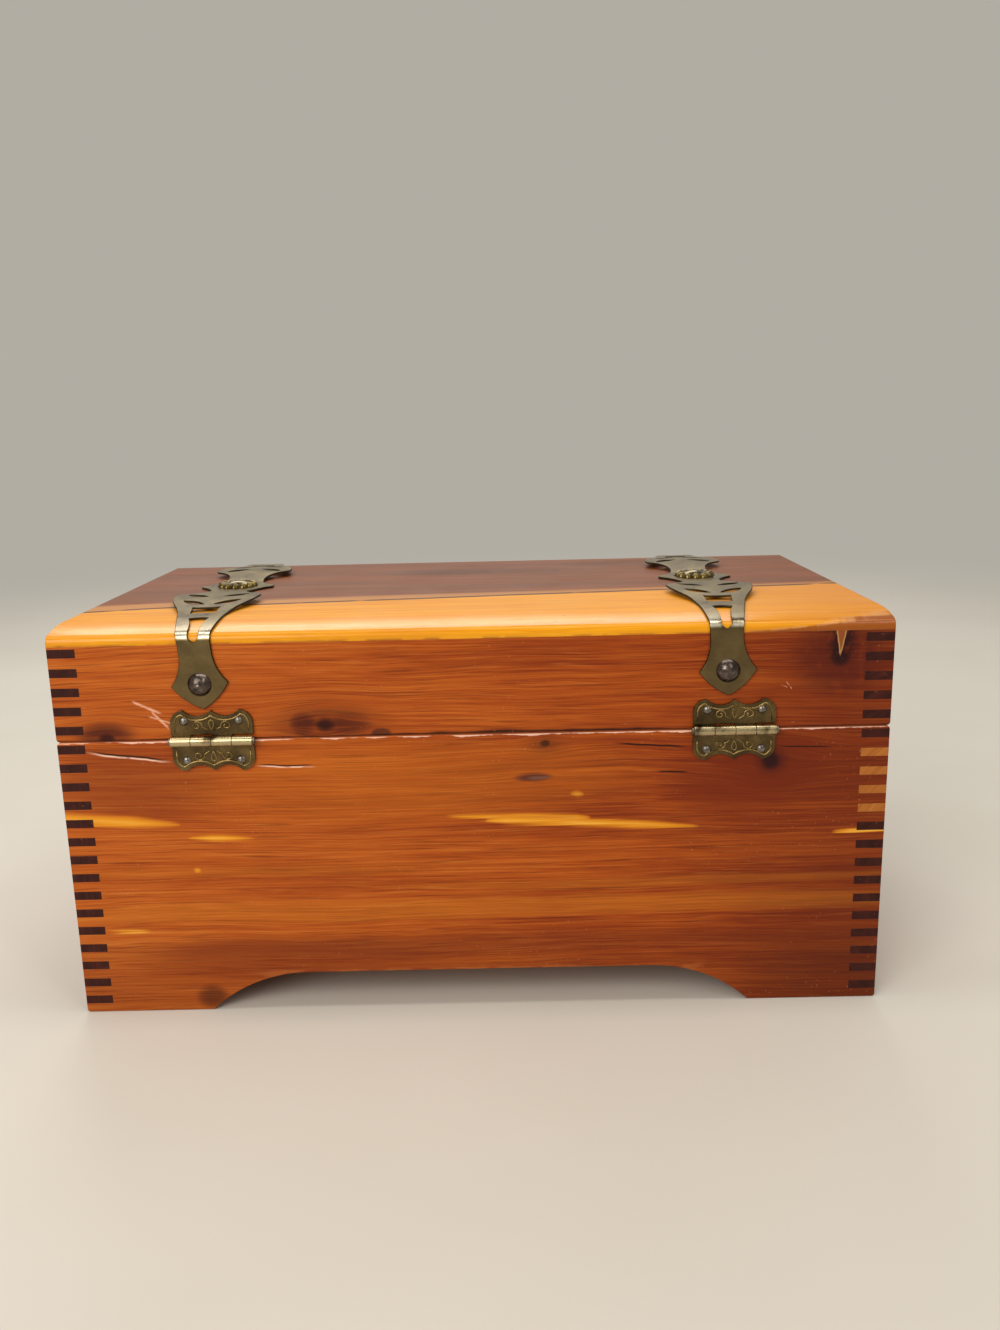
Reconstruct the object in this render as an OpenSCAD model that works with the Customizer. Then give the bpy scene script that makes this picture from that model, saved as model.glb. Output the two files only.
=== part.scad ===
// Finger-jointed cedar jewelry box with a hinged lid, pierced brass straps and a swing hook.
// The box stands on Z = 0 with its front towards -Y and its hinges at +Y; left is -X.

/* [Box] */
// Length of the box, left to right
box_w = 254; // [220:1:320]
// Depth of the box, front to back
box_d = 150; // [130:1:200]
// Height of the rim where the lid meets the box
rim_z = 90.8; // [80:0.1:120]
// Thickness of the front and back boards
side_t = 8.5; // [7:0.1:12]
// Thickness of the end boards
end_t = 8.5; // [7:0.1:12]
// Rounding of the end edges at the rim and at the feet
end_ease = 1.2; // [0.5:0.1:2]
// Rounding of the long edges at the rim
rim_ease = 0.5; // [0.3:0.1:1]

/* [Finger joints] */
// Height from one end-board finger to the next
finger_pitch = 6; // [4:0.1:10]
// Height of an end-board finger
finger_h = 2.7; // [1.5:0.1:3.5]
// Height of the lowest end-board finger above the surface
finger_start = 3.1; // [2:0.1:4]

/* [Feet] */
// Length of a foot along the front and back boards
foot_w = 40.7; // [25:0.1:60]
// Height of the arch between the feet
arch_h = 12.6; // [8:0.1:14]
// Length of the curve at each end of the arch
arch_run = 31.3; // [15:0.1:40]

/* [Bottom panel] */
// Height of the underside of the bottom panel
panel_z = 16; // [15:0.1:24]
// Thickness of the bottom panel
panel_t = 5; // [3:0.1:7]
// How far the panel's edges reach into the boards
groove_depth = 4; // [2:0.1:5]
// Room above and around the panel in its grooves
panel_play = 0.3; // [0.1:0.05:0.5]

/* [Lid] */
// Height of the lid's frame without the top board
lid_frame_h = 29.7; // [26:0.1:45]
// Thickness of the top board
top_t = 5.5; // [5:0.1:8]
// Depth of the rolled edges of the top board
roll_run = 18; // [10:0.1:20]
// Height of the rolled edges of the top board
roll_rise = 4.5; // [4:0.1:4.9]
// Radius at the nose of the rolled edges
nose_r = 2.4; // [1.5:0.1:3]

/* [Straps] */
// Distance of the right strap's rosette from the right end of the lid
right_strap_inset = 40.6; // [32:0.1:52]
// Distance of the left strap's rosette from the left end of the lid
left_strap_inset = 47; // [32:0.1:52]
// Angle at which the right strap crosses the lid
right_strap_turn = 2.9; // [-4:0.1:4]
// Angle at which the left strap crosses the lid
left_strap_turn = -2.6; // [-4:0.1:4]
// Angle at which the right strap's ends hang
right_strap_tilt = 4.2; // [-5:0.1:5]
// Angle at which the left strap's ends hang
left_strap_tilt = 3; // [-5:0.1:5]
// How far the right strap is nailed on towards the back
right_strap_slip = 0; // [-1:0.1:0]
// How far the left strap is nailed on towards the back
left_strap_slip = -0.8; // [-1:0.1:0]
// Thickness of the strap metal
strap_t = 0.8; // [0.5:0.05:1]
// Play between the strap and the wood
strap_play = 0.05; // [0.02:0.01:0.1]
// Height that the strap bows off the wood between its rosette and the rolled edge
bow_h = 1.6; // [0.6:0.1:2]
// Least width of the strap's neck, above the shield
neck_w = 10; // [8:0.1:11]
// Width of the strap where it bends over the lid's edge
bend_w = 11.4; // [11.1:0.1:12]
// Width across the wing tips of a fan
wing_w = 29; // [24:0.1:34]
// Distance of the wing tips from the lid's edge
wing_in = 47.5; // [46:0.1:49]
// Height of the blunt end of a wing tip
wing_tip_h = 1.6; // [1:0.1:2]
// Distance from the lid's edge to where a fan starts to widen
fan_in = 1; // [0.5:0.1:4]
// Width across the small points beside the rosette
collar_w = 26; // [22:0.1:28]
// Least width between the round bays beside the rosette
waist_w = 12; // [9:0.1:14]
// Width of the narrow end of the opening over the rolled edge
slot_w = 2.6; // [2:0.1:3]
// Width of the wide end of the opening over the rolled edge
fishtail_w = 5.8; // [4:0.1:6.4]
// Distance of that wide end from the lid's edge
fishtail_in = 10.5; // [9:0.1:12]
// Distance of the cross slot's middle from the lid's edge
cross_slot_in = 22.5; // [21:0.1:23]
// Length of the cross slot
cross_slot_w = 9; // [7:0.1:10]
// Width of the cross slot
cross_slot_h = 6; // [3:0.1:6.5]
// Distance of the feather slits' middles from the strap's centre line
slit_x = 5.5; // [5:0.1:6]
// Distance of the outer feather slits from the lid's edge
slit_in = 31.5; // [31:0.1:32]
// Distance from the outer to the inner feather slits
slit_step = 12.9; // [11:0.1:14]
// Length of a feather slit from point to point
slit_l = 9.4; // [7:0.1:9.6]
// Width of a feather slit at its middle
slit_w = 2.4; // [1:0.1:2.6]
// Rise of a feather slit's hollow edge
slit_bend = 1; // [0.5:0.1:1.5]
// Slope of the feather slits
slit_turn = 38; // [30:1:42]
// Width of the shield at the end of a strap
shield_w = 17.4; // [15:0.1:22]
// Height from the shield's corners to its point
shield_drop = 7.6; // [6:0.1:9]
// Radius of the shield's two lower edges
shield_edge_r = 19; // [12:0.1:30]
// Height over which the neck flares into the shield
flare_h = 9.7; // [7:0.1:11]
// Height of the shield's corners and nail above the rim
shield_z = 17.5; // [16:0.1:20]

/* [Rosettes] */
// Radius of a rosette
rosette_r = 7.25; // [6:0.05:9]
// Height of a rosette's middle above the strap
rosette_h = 2.2; // [2:0.1:4]
// Number of lobes round a rosette
rosette_lobes = 12; // [8:1:16]
// Radius of a lobe
lobe_r = 1.7; // [1.2:0.1:2]
// Radius of a rosette's shank
rosette_shank_r = 0.8; // [0.6:0.05:1.2]
// Length of a rosette's shank in the top board
rosette_shank_l = 4; // [3:0.1:4.5]

/* [Strap nails] */
// Radius of a strap nail's domed head
strap_head_r = 3.65; // [3:0.05:4.5]
// Height of a strap nail's head
strap_head_h = 2.2; // [1.5:0.1:2.5]
// Radius of a strap nail's shank
strap_shank_r = 0.9; // [0.7:0.05:1.2]
// Length of a strap nail's shank in the wood
strap_shank_l = 6; // [4:0.1:6.5]

/* [Hinges] */
// Distance of the right hinge's middle from the right end of the box
right_hinge_inset = 47.9; // [30:0.1:65]
// Distance of the left hinge's middle from the left end of the box
left_hinge_inset = 47.5; // [30:0.1:65]
// Length of a hinge along its pin
hinge_w = 25; // [22:0.1:32]
// Reach of a leaf from the pin to its point
leaf_reach = 9.5; // [8.5:0.1:9.6]
// Thickness of a leaf
leaf_t = 0.9; // [0.6:0.05:1.2]
// Radius of the round ears of a leaf
ear_r = 4; // [3:0.1:5]
// Depth of the hollow sweeps beside a leaf's point
dip_depth = 1.8; // [1:0.1:2.4]
// Radius of the knuckles
knuckle_r = 1.6; // [1.4:0.05:2]
// Radius of the hinge pin
pin_r = 0.8; // [0.6:0.05:1]
// Radius of the peened ends of the pin
pin_end_r = 1.2; // [1:0.05:1.3]
// Thickness of the peened ends of the pin
pin_end_t = 0.5; // [0.3:0.05:0.8]
// Distance between the two nails of a leaf
leaf_nail_gap = 16.6; // [14:0.1:18]
// Distance of a leaf's nails from the pin
leaf_nail_z = 6.2; // [5.5:0.1:6.5]

/* [Hinge nails] */
// Radius of a hinge nail's head
hinge_head_r = 1.4; // [1.1:0.05:1.8]
// Height of a hinge nail's head
hinge_head_h = 0.8; // [0.5:0.05:0.85]
// Radius of a hinge nail's shank
hinge_shank_r = 0.6; // [0.4:0.05:0.8]
// Length of a hinge nail's shank in the wood
hinge_shank_l = 6; // [4:0.1:6.5]

/* [Catch] */
// Depth of the hook's pivot below the rim
pivot_z = 8; // [6:0.1:10]
// Distance from the hook's pivot to its throat
hook_l = 18; // [16:0.1:24]
// Angle past upright at which the hook's own weight holds it on its stud
hook_lean = 12; // [8:1:20]
// Thickness of the hook
hook_t = 1.2; // [1:0.05:1.4]
// Width of the hook's arm
hook_arm_w = 3; // [2.4:0.1:4]
// Radius of the hook's eye
hook_eye_r = 3.2; // [2.6:0.1:4]
// Radius of the hook's round end
hook_end_r = 3.4; // [3:0.1:4.4]
// Radius of the catch nails' heads
catch_head_r = 2.4; // [2:0.1:3]
// Height of the catch nails' heads
catch_head_h = 1.4; // [1:0.1:1.6]
// Radius of the catch nails' shanks
catch_shank_r = 1.1; // [0.9:0.05:1.3]
// Length of the catch nails' shanks in the wood
catch_shank_l = 6; // [4:0.1:6.5]

/* [Fits] */
// Clearance round a nail's shank in its hole
nail_clear = 0.05; // [0.02:0.01:0.1]
// Radial clearance of the hinge pin and of the hook's pivot
pivot_clear = 0.06; // [0.02:0.01:0.1]
// Gap between a part that turns and its neighbour
running_gap = 0.3; // [0.2:0.05:0.4]
// Gap between neighbouring knuckles
knuckle_gap = 0.2; // [0.1:0.05:0.3]

/* [Hidden] */
$fn = 64;
cut = 1;
quarter_turn = 90;

joint_z = rim_z + lid_frame_h;
top_z = joint_z + top_t;
half_d = box_d / 2;
inner_w = box_w - 2 * end_t;
inner_d = box_d - 2 * side_t;

// The roll is a long sweep from the flat top and a tight nose that stands a hair proud of it.
nose_z = top_z - roll_rise;
nose_proud = 0.02;
nose_reach = nose_r - nose_proud;
nose_in = roll_run - nose_r;
sweep_r = (pow(nose_in, 2) + pow(roll_rise, 2) - pow(nose_reach, 2)) / (2 * (roll_rise - nose_reach));
sweep_turn = atan2(nose_in, sweep_r - roll_rise);

arch_half = box_w / 2 - foot_w;
arch_r = (pow(arch_run, 2) + pow(arch_h, 2)) / (2 * arch_h);

// Where each strap lies: its rosette's X, its angle on the lid, its ends' angle and its slip.
RIGHT_STRAP = [box_w / 2 - right_strap_inset, right_strap_turn, right_strap_tilt, right_strap_slip];
LEFT_STRAP = [left_strap_inset - box_w / 2, left_strap_turn, left_strap_tilt, left_strap_slip];
strap_face = half_d + strap_play + strap_t;
strap_top = top_z + strap_play + strap_t;
wing_y = half_d - wing_in;
bay_side = (wing_w - waist_w) / 2;
bay_r = (pow(bay_side, 2) + pow(wing_y / 2, 2)) / (2 * bay_side);
bow_near = rosette_r + max(abs(right_strap_slip), abs(left_strap_slip)) + running_gap;
bow_far = half_d - roll_run - cut;
bow_half = (bow_far - bow_near) / 2;
bow_r = (pow(bow_half, 2) + pow(bow_h, 2)) / (2 * bow_h);
neck_lap = nose_r / 4;
past_edge = strap_play + strap_t + 2 * cut;
flare_side = (shield_w - neck_w) / 2;
flare_r = (pow(flare_side, 2) + pow(flare_h, 2)) / (2 * flare_side);

RIGHT_HINGE = box_w / 2 - right_hinge_inset;
LEFT_HINGE = left_hinge_inset - box_w / 2;
axis_y = half_d + knuckle_r + knuckle_gap;
knuckle_w = hinge_w / 4;
BOX_KNUCKLES = [0, 2];
LID_KNUCKLES = [1, 3];
dip_r = (pow(hinge_w / 2 - ear_r, 2) / 4 + pow(dip_depth, 2)) / (2 * dip_depth);

catch_head_y = half_d + running_gap + hook_t + running_gap;
throat_r = catch_shank_r + running_gap / 2;

// Half of a sphere-topped dome that stands on Z = 0.
module dome(r, h) {
    ball_r = (pow(r, 2) + pow(h, 2)) / (2 * h);
    intersection() {
        translate([0, 0, h - ball_r]) sphere(ball_r);
        cylinder(r = r + cut, h = h + cut);
    }
}

// A nail that points down, with the underside of its head at the given height over the wood.
module nail(head_r, head_h, shank_r, shank_l, over) {
    translate([0, 0, over]) dome(head_r, head_h);
    translate([0, 0, -shank_l]) cylinder(r = shank_r, h = shank_l + over);
}

// The drilled hole that takes such a nail, open at the wood's surface and through what it holds.
module nail_hole(shank_r, shank_l, over) {
    translate([0, 0, -shank_l - nail_clear])
        cylinder(r = shank_r + nail_clear, h = shank_l + nail_clear + over + cut);
}

// Turns a flat shape drawn in Y and Z into a bar along X.
module along_x(length) {
    rotate([90, 0, 90]) linear_extrude(length, center = true) children();
}

// Turns a flat shape drawn in X and Z into a bar along Y.
module along_y(length) {
    rotate([90, 0, 0]) linear_extrude(length, center = true) children();
}

// A rectangle from z0 to z1 whose lower and upper corners are rounded.
module eased_rect(w, z0, z1, r0, r1) {
    difference() {
        translate([-w / 2, z0]) square([w, z1 - z0]);
        for (s = [-1, 1]) {
            corner_cut(s * (w / 2 - r0), z0 + r0, s, -1, r0);
            corner_cut(s * (w / 2 - r1), z1 - r1, s, 1, r1);
        }
    }
}

// What a rounded corner leaves out, beyond the round's centre towards sx and sz.
module corner_cut(x, z, sx, sz, r) {
    translate([x, z]) scale([sx, sz]) difference() {
        square(r + cut);
        circle(r);
    }
}

// The space that the box's four boards fill, with its worn edges.
module box_outline() {
    intersection() {
        along_y(box_d + cut) eased_rect(box_w, 0, rim_z, end_ease, end_ease);
        along_x(box_w + cut) eased_rect(box_d, 0, rim_z, rim_ease, rim_ease);
    }
}

// The space that the lid's four boards fill, with its worn lower edges.
module lid_outline() {
    intersection() {
        along_y(box_d + cut) eased_rect(box_w, rim_z, joint_z + end_ease, end_ease, end_ease);
        along_x(box_w + cut) eased_rect(box_d, rim_z, joint_z + rim_ease, rim_ease, rim_ease);
    }
}

// End-board fingers at all four corners, between two heights.
module end_fingers(z0, z1) {
    first = ceil((z0 - finger_start - finger_h) / finger_pitch);
    last = floor((z1 - finger_start) / finger_pitch);
    for (i = [first : last], sx = [-1, 1], sy = [-1, 1])
        translate([
            sx * (box_w - end_t) / 2 - end_t / 2 - (sx < 0 ? cut : 0),
            sy * (box_d - side_t) / 2 - side_t / 2 - (sy < 0 ? cut : 0),
            finger_start + i * finger_pitch
        ])
            cube([end_t + cut, side_t + cut, finger_h]);
}

// The columns at the four corners where boards meet.
module corner_columns(z0, z1) {
    for (sx = [-1, 1], sy = [-1, 1])
        translate([
            sx * (box_w - end_t) / 2 - end_t / 2 - (sx < 0 ? cut : 0),
            sy * (box_d - side_t) / 2 - side_t / 2 - (sy < 0 ? cut : 0),
            z0 - cut
        ])
            cube([end_t + cut, side_t + cut, z1 - z0 + 2 * cut]);
}

// A front or back board: full length, with slots for the end boards' fingers.
module side_board(side, z0, z1) {
    difference() {
        translate([-box_w / 2, side * (box_d - side_t) / 2 - side_t / 2, z0])
            cube([box_w, side_t, z1 - z0]);
        end_fingers(z0, z1);
    }
}

// An end board: fits between the side boards, with fingers through to their faces.
module end_board(side, z0, z1) {
    difference() {
        translate([side * (box_w - end_t) / 2 - end_t / 2, -half_d, z0])
            cube([end_t, box_d, z1 - z0]);
        difference() {
            corner_columns(z0, z1);
            end_fingers(z0, z1);
        }
    }
}

// The arch between the feet, cut through a front or back board.
module arch() {
    along_y(box_d + 2 * cut) {
        translate([-arch_half + arch_run, -cut])
            square([2 * (arch_half - arch_run), arch_h + cut]);
        for (s = [-1, 1])
            intersection() {
                translate([s * (arch_half - arch_run), arch_h - arch_r]) circle(arch_r, $fn = 96);
                translate([s < 0 ? -arch_half - cut : arch_half - arch_run, -cut])
                    square([arch_run + cut, arch_h + 2 * cut]);
            }
    }
}

// The bottom panel, larger than the inside by the depth of its grooves.
module panel_block(play) {
    reach = 2 * (groove_depth + play);
    translate([-(inner_w + reach) / 2, -(inner_d + reach) / 2, panel_z])
        cube([inner_w + reach, inner_d + reach, panel_t + play]);
}

// The cross-section of the lid's top board, grown outwards by a skin, from a height up.
module top_profile(skin, z0) {
    intersection() {
        translate([-half_d - skin - cut, z0])
            square([box_d + 2 * (skin + cut), top_z + skin + cut - z0]);
        union() {
            translate([-half_d - skin, z0 - cut])
                square([box_d + 2 * skin, nose_z - z0 + cut]);
            translate([-half_d + roll_run, z0 - cut])
                square([box_d - 2 * roll_run, top_z + skin - z0 + cut]);
            for (s = [-1, 1]) scale([s, 1]) {
                translate([half_d - roll_run, nose_z - cut])
                    square([roll_run - nose_r / 2, cut + nose_r / 2]);
                translate([half_d - nose_r, nose_z])
                    round_sector(nose_r + skin, 0, quarter_turn);
                translate([half_d - roll_run, top_z - sweep_r])
                    round_sector(sweep_r + skin, quarter_turn - sweep_turn, quarter_turn);
            }
        }
    }
}

// A slice of a disc between two angles less than a right angle apart.
module round_sector(r, a0, a1) {
    far = 2 * r;
    intersection() {
        circle(r, $fn = 96);
        polygon([[0, 0], far * [cos(a0), sin(a0)], far * [cos(a1), sin(a1)]]);
    }
}

// A disc whose edge dips by a depth below the X axis, between two points of that axis.
module dipped_disc(span, depth) {
    r = (pow(span, 2) / 4 + pow(depth, 2)) / (2 * depth);
    translate([0, r - depth]) circle(r);
}

// A crescent-shaped slit along X, with its bulge towards -Y.
module feather_slit() {
    translate([0, slit_bend + slit_w / 2])
        difference() {
            dipped_disc(slit_l, slit_bend + slit_w);
            dipped_disc(slit_l, slit_bend);
        }
}

// The cross-section of a strap's face, a skin above the wood, with its bows over the flat top.
module strap_profile(skin, z0) {
    top_profile(skin, z0);
    for (s = [-1, 1]) scale([s, 1])
        intersection() {
            translate([bow_near + bow_half, top_z + strap_play + bow_h - bow_r])
                circle(bow_r + skin - strap_play, $fn = 192);
            translate([bow_near - cut, nose_z])
                square([2 * (bow_half + cut), roll_rise + strap_t + bow_h + cut]);
        }
}

// The strap as seen from above: neck, two winged fans and a waist, with its pierced openings.
module strap_plan() {
    far = half_d + past_edge;
    difference() {
        for (sx = [-1, 1]) scale([sx, 1])
            polygon([
                [-cut, far], [bend_w / 2, far], [bend_w / 2, half_d - fan_in],
                [wing_w / 2, wing_y + wing_tip_h / 2], [wing_w / 2, wing_y - wing_tip_h / 2],
                [collar_w / 2, wing_y / 2], [collar_w / 2, -wing_y / 2],
                [wing_w / 2, wing_tip_h / 2 - wing_y], [wing_w / 2, -wing_tip_h / 2 - wing_y],
                [bend_w / 2, fan_in - half_d], [bend_w / 2, -far], [-cut, -far]
            ]);
        for (sy = [-1, 1]) scale([1, sy]) {
            fishtail();
            translate([-cross_slot_w / 2, half_d - cross_slot_in - cross_slot_h / 2])
                square([cross_slot_w, cross_slot_h]);
            for (sx = [-1, 1]) scale([sx, 1]) {
                translate([waist_w / 2 + bay_r, wing_y / 2]) circle(bay_r);
                for (row = [0, 1])
                    translate([slit_x, half_d - slit_in - row * slit_step])
                        rotate(-slit_turn) feather_slit();
            }
        }
    }
}

// The opening that runs over the rolled edge and narrows towards the neck.
module fishtail() {
    far = half_d + past_edge + cut;
    polygon([
        [-fishtail_w / 2, half_d - fishtail_in], [fishtail_w / 2, half_d - fishtail_in],
        [slot_w / 2, half_d - nose_r], [slot_w / 2, far],
        [-slot_w / 2, far], [-slot_w / 2, half_d - nose_r]
    ]);
}

// The end of a strap on the lid's back or front, measured down from the nose of the roll.
module shield_plan(drop) {
    edge_x = sqrt(pow(shield_edge_r, 2) - pow(shield_drop, 2) / 4 - pow(shield_w, 2) / 16);
    edge_len = sqrt(pow(shield_w / 2, 2) + pow(shield_drop, 2));
    difference() {
        union() {
            polygon([
                [-neck_w / 2, -drop], [neck_w / 2, -drop], [neck_w / 2, flare_h - drop],
                [bend_w / 2, 0], [bend_w / 2, neck_lap], [-bend_w / 2, neck_lap],
                [-bend_w / 2, 0], [-neck_w / 2, flare_h - drop]
            ]);
            difference() {
                translate([-shield_w / 2, -drop]) square([shield_w, flare_h]);
                for (s = [-1, 1])
                    translate([s * (neck_w / 2 + flare_r), flare_h - drop]) circle(flare_r);
            }
            // Two round edges that meet in the shield's point
            intersection_for (s = [-1, 1])
                intersection() {
                    translate([
                        s * (shield_w / 4 - edge_x * shield_drop / edge_len),
                        -drop - shield_drop / 2 + edge_x * shield_w / 2 / edge_len
                    ])
                        circle(shield_edge_r);
                    translate([-shield_w, -drop - 2 * shield_drop])
                        square([2 * shield_w, 2 * shield_drop]);
                }
        }
        translate([-slot_w / 2, 0]) square([slot_w, neck_lap + cut]);
        circle(slot_w / 2);
    }
}

// Depth of a shield's nail below the nose of the roll, at the lid's back (1) or front (-1).
function shield_depth(strap, side) = nose_z - rim_z - shield_z + side * strap[3];

// Puts a strap's end pieces at the lid's back (1) or front (-1) edge, where the strap crosses it.
module at_strap_end(strap, side) {
    translate([strap[0] - side * half_d * tan(strap[1]), 0, nose_z])
        rotate([0, side * strap[2], 0]) children();
}

// Puts a nail, drawn pointing down, on both ends of a strap.
module at_strap_nails(strap) {
    for (side = [-1, 1])
        at_strap_end(strap, side)
            translate([0, side * half_d, -shield_depth(strap, side)])
                rotate([-side * quarter_turn, 0, 0]) children();
}

// Puts a nail, drawn pointing down, at the middle of a strap.
module at_rosette(strap) {
    translate([strap[0], 0, top_z]) rotate(strap[1]) translate([0, strap[3], 0]) children();
}

// A pierced strap bent over the lid from shield to shield.
module strap_sheet(strap) {
    difference() {
        union() {
            intersection() {
                along_x(2 * box_w) difference() {
                    strap_profile(strap_play + strap_t, joint_z);
                    strap_profile(strap_play, joint_z - cut);
                }
                translate([0, 0, -top_t - cut]) at_rosette(strap)
                    linear_extrude(top_t + strap_t + bow_h + 3 * cut) strap_plan();
            }
            for (side = [-1, 1])
                at_strap_end(strap, side)
                    translate([0, side * (strap_face - strap_t / 2), 0])
                        along_y(strap_t) shield_plan(shield_depth(strap, side));
        }
        at_strap_nails(strap) nail_hole(strap_shank_r, strap_shank_l, strap_face - half_d);
        at_rosette(strap) nail_hole(rosette_shank_r, rosette_shank_l, strap_top - top_z);
    }
}

// A lobed rosette on a nail through the middle of a strap.
module rosette(strap) {
    at_rosette(strap) {
        nail(rosette_r - lobe_r, rosette_h, rosette_shank_r, rosette_shank_l, strap_top - top_z);
        translate([0, 0, strap_top - top_z])
            for (i = [0 : rosette_lobes - 1])
                rotate(i * 4 * quarter_turn / rosette_lobes) translate([rosette_r - lobe_r, 0, 0])
                    dome(lobe_r, lobe_r);
    }
}

module strap_nails(strap) {
    at_strap_nails(strap)
        nail(strap_head_r, strap_head_h, strap_shank_r, strap_shank_l, strap_face - half_d);
}

// The scalloped outline of a hinge leaf, upwards from the pin.
module leaf_outline() {
    foot = knuckle_r + running_gap;
    ear_x = hinge_w / 2 - ear_r;
    ear_z = leaf_reach - ear_r;
    difference() {
        union() {
            translate([-hinge_w / 2, foot]) square([hinge_w, ear_z - foot]);
            translate([-ear_x, foot]) square([2 * ear_x, leaf_reach - foot]);
            for (s = [-1, 1]) translate([s * ear_x, ear_z]) circle(ear_r);
        }
        translate([-hinge_w, foot - hinge_w]) square([2 * hinge_w, hinge_w]);
        for (s = [-1, 1])
            translate([s * ear_x / 2, leaf_reach - dip_depth + dip_r]) circle(dip_r);
    }
}

// One leaf of a hinge: up is 1 for the lid's leaf and -1 for the box's.
module hinge_leaf(x, up, knuckles) {
    translate([x, 0, rim_z]) difference() {
        union() {
            translate([0, half_d + leaf_t / 2, 0]) along_y(leaf_t) scale([1, up]) leaf_outline();
            for (i = knuckles) translate([-hinge_w / 2 + i * knuckle_w + knuckle_gap / 2, 0, 0]) {
                translate([0, half_d, up < 0 ? -knuckle_r - running_gap : 0])
                    cube([knuckle_w - knuckle_gap, leaf_t, knuckle_r + running_gap]);
                translate([0, axis_y, 0]) rotate([0, 90, 0])
                    cylinder(r = knuckle_r, h = knuckle_w - knuckle_gap);
            }
        }
        translate([-hinge_w, axis_y, 0]) rotate([0, 90, 0])
            cylinder(r = pin_r + pivot_clear, h = 2 * hinge_w);
        at_leaf_nails(up) nail_hole(hinge_shank_r, hinge_shank_l, leaf_t);
    }
}

// Puts a nail, drawn pointing down, at each nail place of a leaf, measured from the pin.
module at_leaf_nails(up) {
    for (s = [-1, 1])
        translate([s * leaf_nail_gap / 2, half_d, up * leaf_nail_z]) rotate([-90, 0, 0]) children();
}

module hinge_nails(x, up) {
    translate([x, 0, rim_z]) at_leaf_nails(up)
        nail(hinge_head_r, hinge_head_h, hinge_shank_r, hinge_shank_l, leaf_t);
}

// The pin of a hinge, with a peened end beyond the outer knuckles.
module pin_shape(x) {
    translate([x, axis_y, rim_z]) rotate([0, 90, 0]) {
        cylinder(r = pin_r, h = hinge_w + pin_end_t, center = true);
        for (s = [-1, 1])
            translate([0, 0, s * (hinge_w + pin_end_t) / 2])
                cylinder(r = pin_end_r, h = pin_end_t, center = true);
    }
}

module hinge_nail_holes(up) {
    for (x = [LEFT_HINGE, RIGHT_HINGE])
        translate([x, 0, rim_z]) at_leaf_nails(up) nail_hole(hinge_shank_r, hinge_shank_l, 0);
}

module strap_nail_holes() {
    for (strap = [LEFT_STRAP, RIGHT_STRAP])
        at_strap_nails(strap) nail_hole(strap_shank_r, strap_shank_l, 0);
}

// Puts a nail, drawn pointing down, at the hook's pivot in the box's front.
module at_pivot() {
    translate([0, -half_d, rim_z - pivot_z]) rotate([90, 0, 0]) children();
}

// Puts a nail, drawn pointing down, where the raised hook's throat ends up in the lid's front.
module at_stud() {
    translate([hook_l * sin(hook_lean), -half_d, rim_z - pivot_z + hook_l * cos(hook_lean)])
        rotate([90, 0, 0]) children();
}

// The outline of the hanging hook, drawn from its pivot down.
module hook_outline() {
    difference() {
        union() {
            circle(hook_eye_r);
            translate([-hook_arm_w / 2, -hook_l]) square([hook_arm_w, hook_l]);
            translate([0, -hook_l]) circle(hook_end_r);
        }
        circle(catch_shank_r + pivot_clear);
        translate([0, -hook_l]) circle(throat_r);
        // The throat follows the arc that the stud makes as the hook swings on
        intersection() {
            difference() {
                circle(hook_l + throat_r, $fn = 96);
                circle(hook_l - throat_r, $fn = 96);
            }
            translate([-2 * hook_l, -2 * hook_l]) square(2 * hook_l);
        }
    }
}

module box_back() {
    color("#9a4a1c") difference() {
        intersection() {
            side_board(1, 0, rim_z);
            box_outline();
        }
        arch();
        panel_block(panel_play);
        hinge_nail_holes(-1);
    }
}

module box_front() {
    color("#9a4a1c") difference() {
        intersection() {
            side_board(-1, 0, rim_z);
            box_outline();
        }
        arch();
        panel_block(panel_play);
        at_pivot() nail_hole(catch_shank_r, catch_shank_l, 0);
    }
}

// An end of the box: -1 is the left one and 1 the right.
module box_end(side) {
    difference() {
        intersection() {
            end_board(side, 0, rim_z);
            box_outline();
        }
        panel_block(panel_play);
    }
}

module box_bottom() {
    color("#a8643a") panel_block(0);
}

module lid_top() {
    color("#d98d35") difference() {
        intersection() {
            along_x(box_w) top_profile(0, joint_z);
            along_y(box_d + cut) eased_rect(box_w, joint_z - end_ease, top_z, end_ease, end_ease);
        }
        for (strap = [LEFT_STRAP, RIGHT_STRAP])
            at_rosette(strap) nail_hole(rosette_shank_r, rosette_shank_l, 0);
    }
}

module lid_back() {
    color("#9a4a1c") difference() {
        intersection() {
            side_board(1, rim_z, joint_z);
            lid_outline();
        }
        hinge_nail_holes(1);
        strap_nail_holes();
    }
}

module lid_front() {
    color("#9a4a1c") difference() {
        intersection() {
            side_board(-1, rim_z, joint_z);
            lid_outline();
        }
        strap_nail_holes();
        at_stud() nail_hole(catch_shank_r, catch_shank_l, 0);
    }
}

// An end of the lid: -1 is the left one and 1 the right.
module lid_end(side) {
    intersection() {
        end_board(side, rim_z, joint_z);
        lid_outline();
    }
}

module catch_hook() {
    color("#b08d45") translate([0, -half_d - running_gap - hook_t / 2, rim_z - pivot_z])
        along_y(hook_t) hook_outline();
}

module catch_nail() {
    nail(catch_head_r, catch_head_h, catch_shank_r, catch_shank_l, catch_head_y - half_d);
}

module box_left_end() {
    color("#7d3617") box_end(-1);
}

module box_right_end() {
    color("#7d3617") box_end(1);
}

module lid_left_end() {
    color("#7d3617") lid_end(-1);
}

module lid_right_end() {
    color("#7d3617") lid_end(1);
}

module left_strap() {
    color("#80704a") strap_sheet(LEFT_STRAP);
}

module right_strap() {
    color("#80704a") strap_sheet(RIGHT_STRAP);
}

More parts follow.
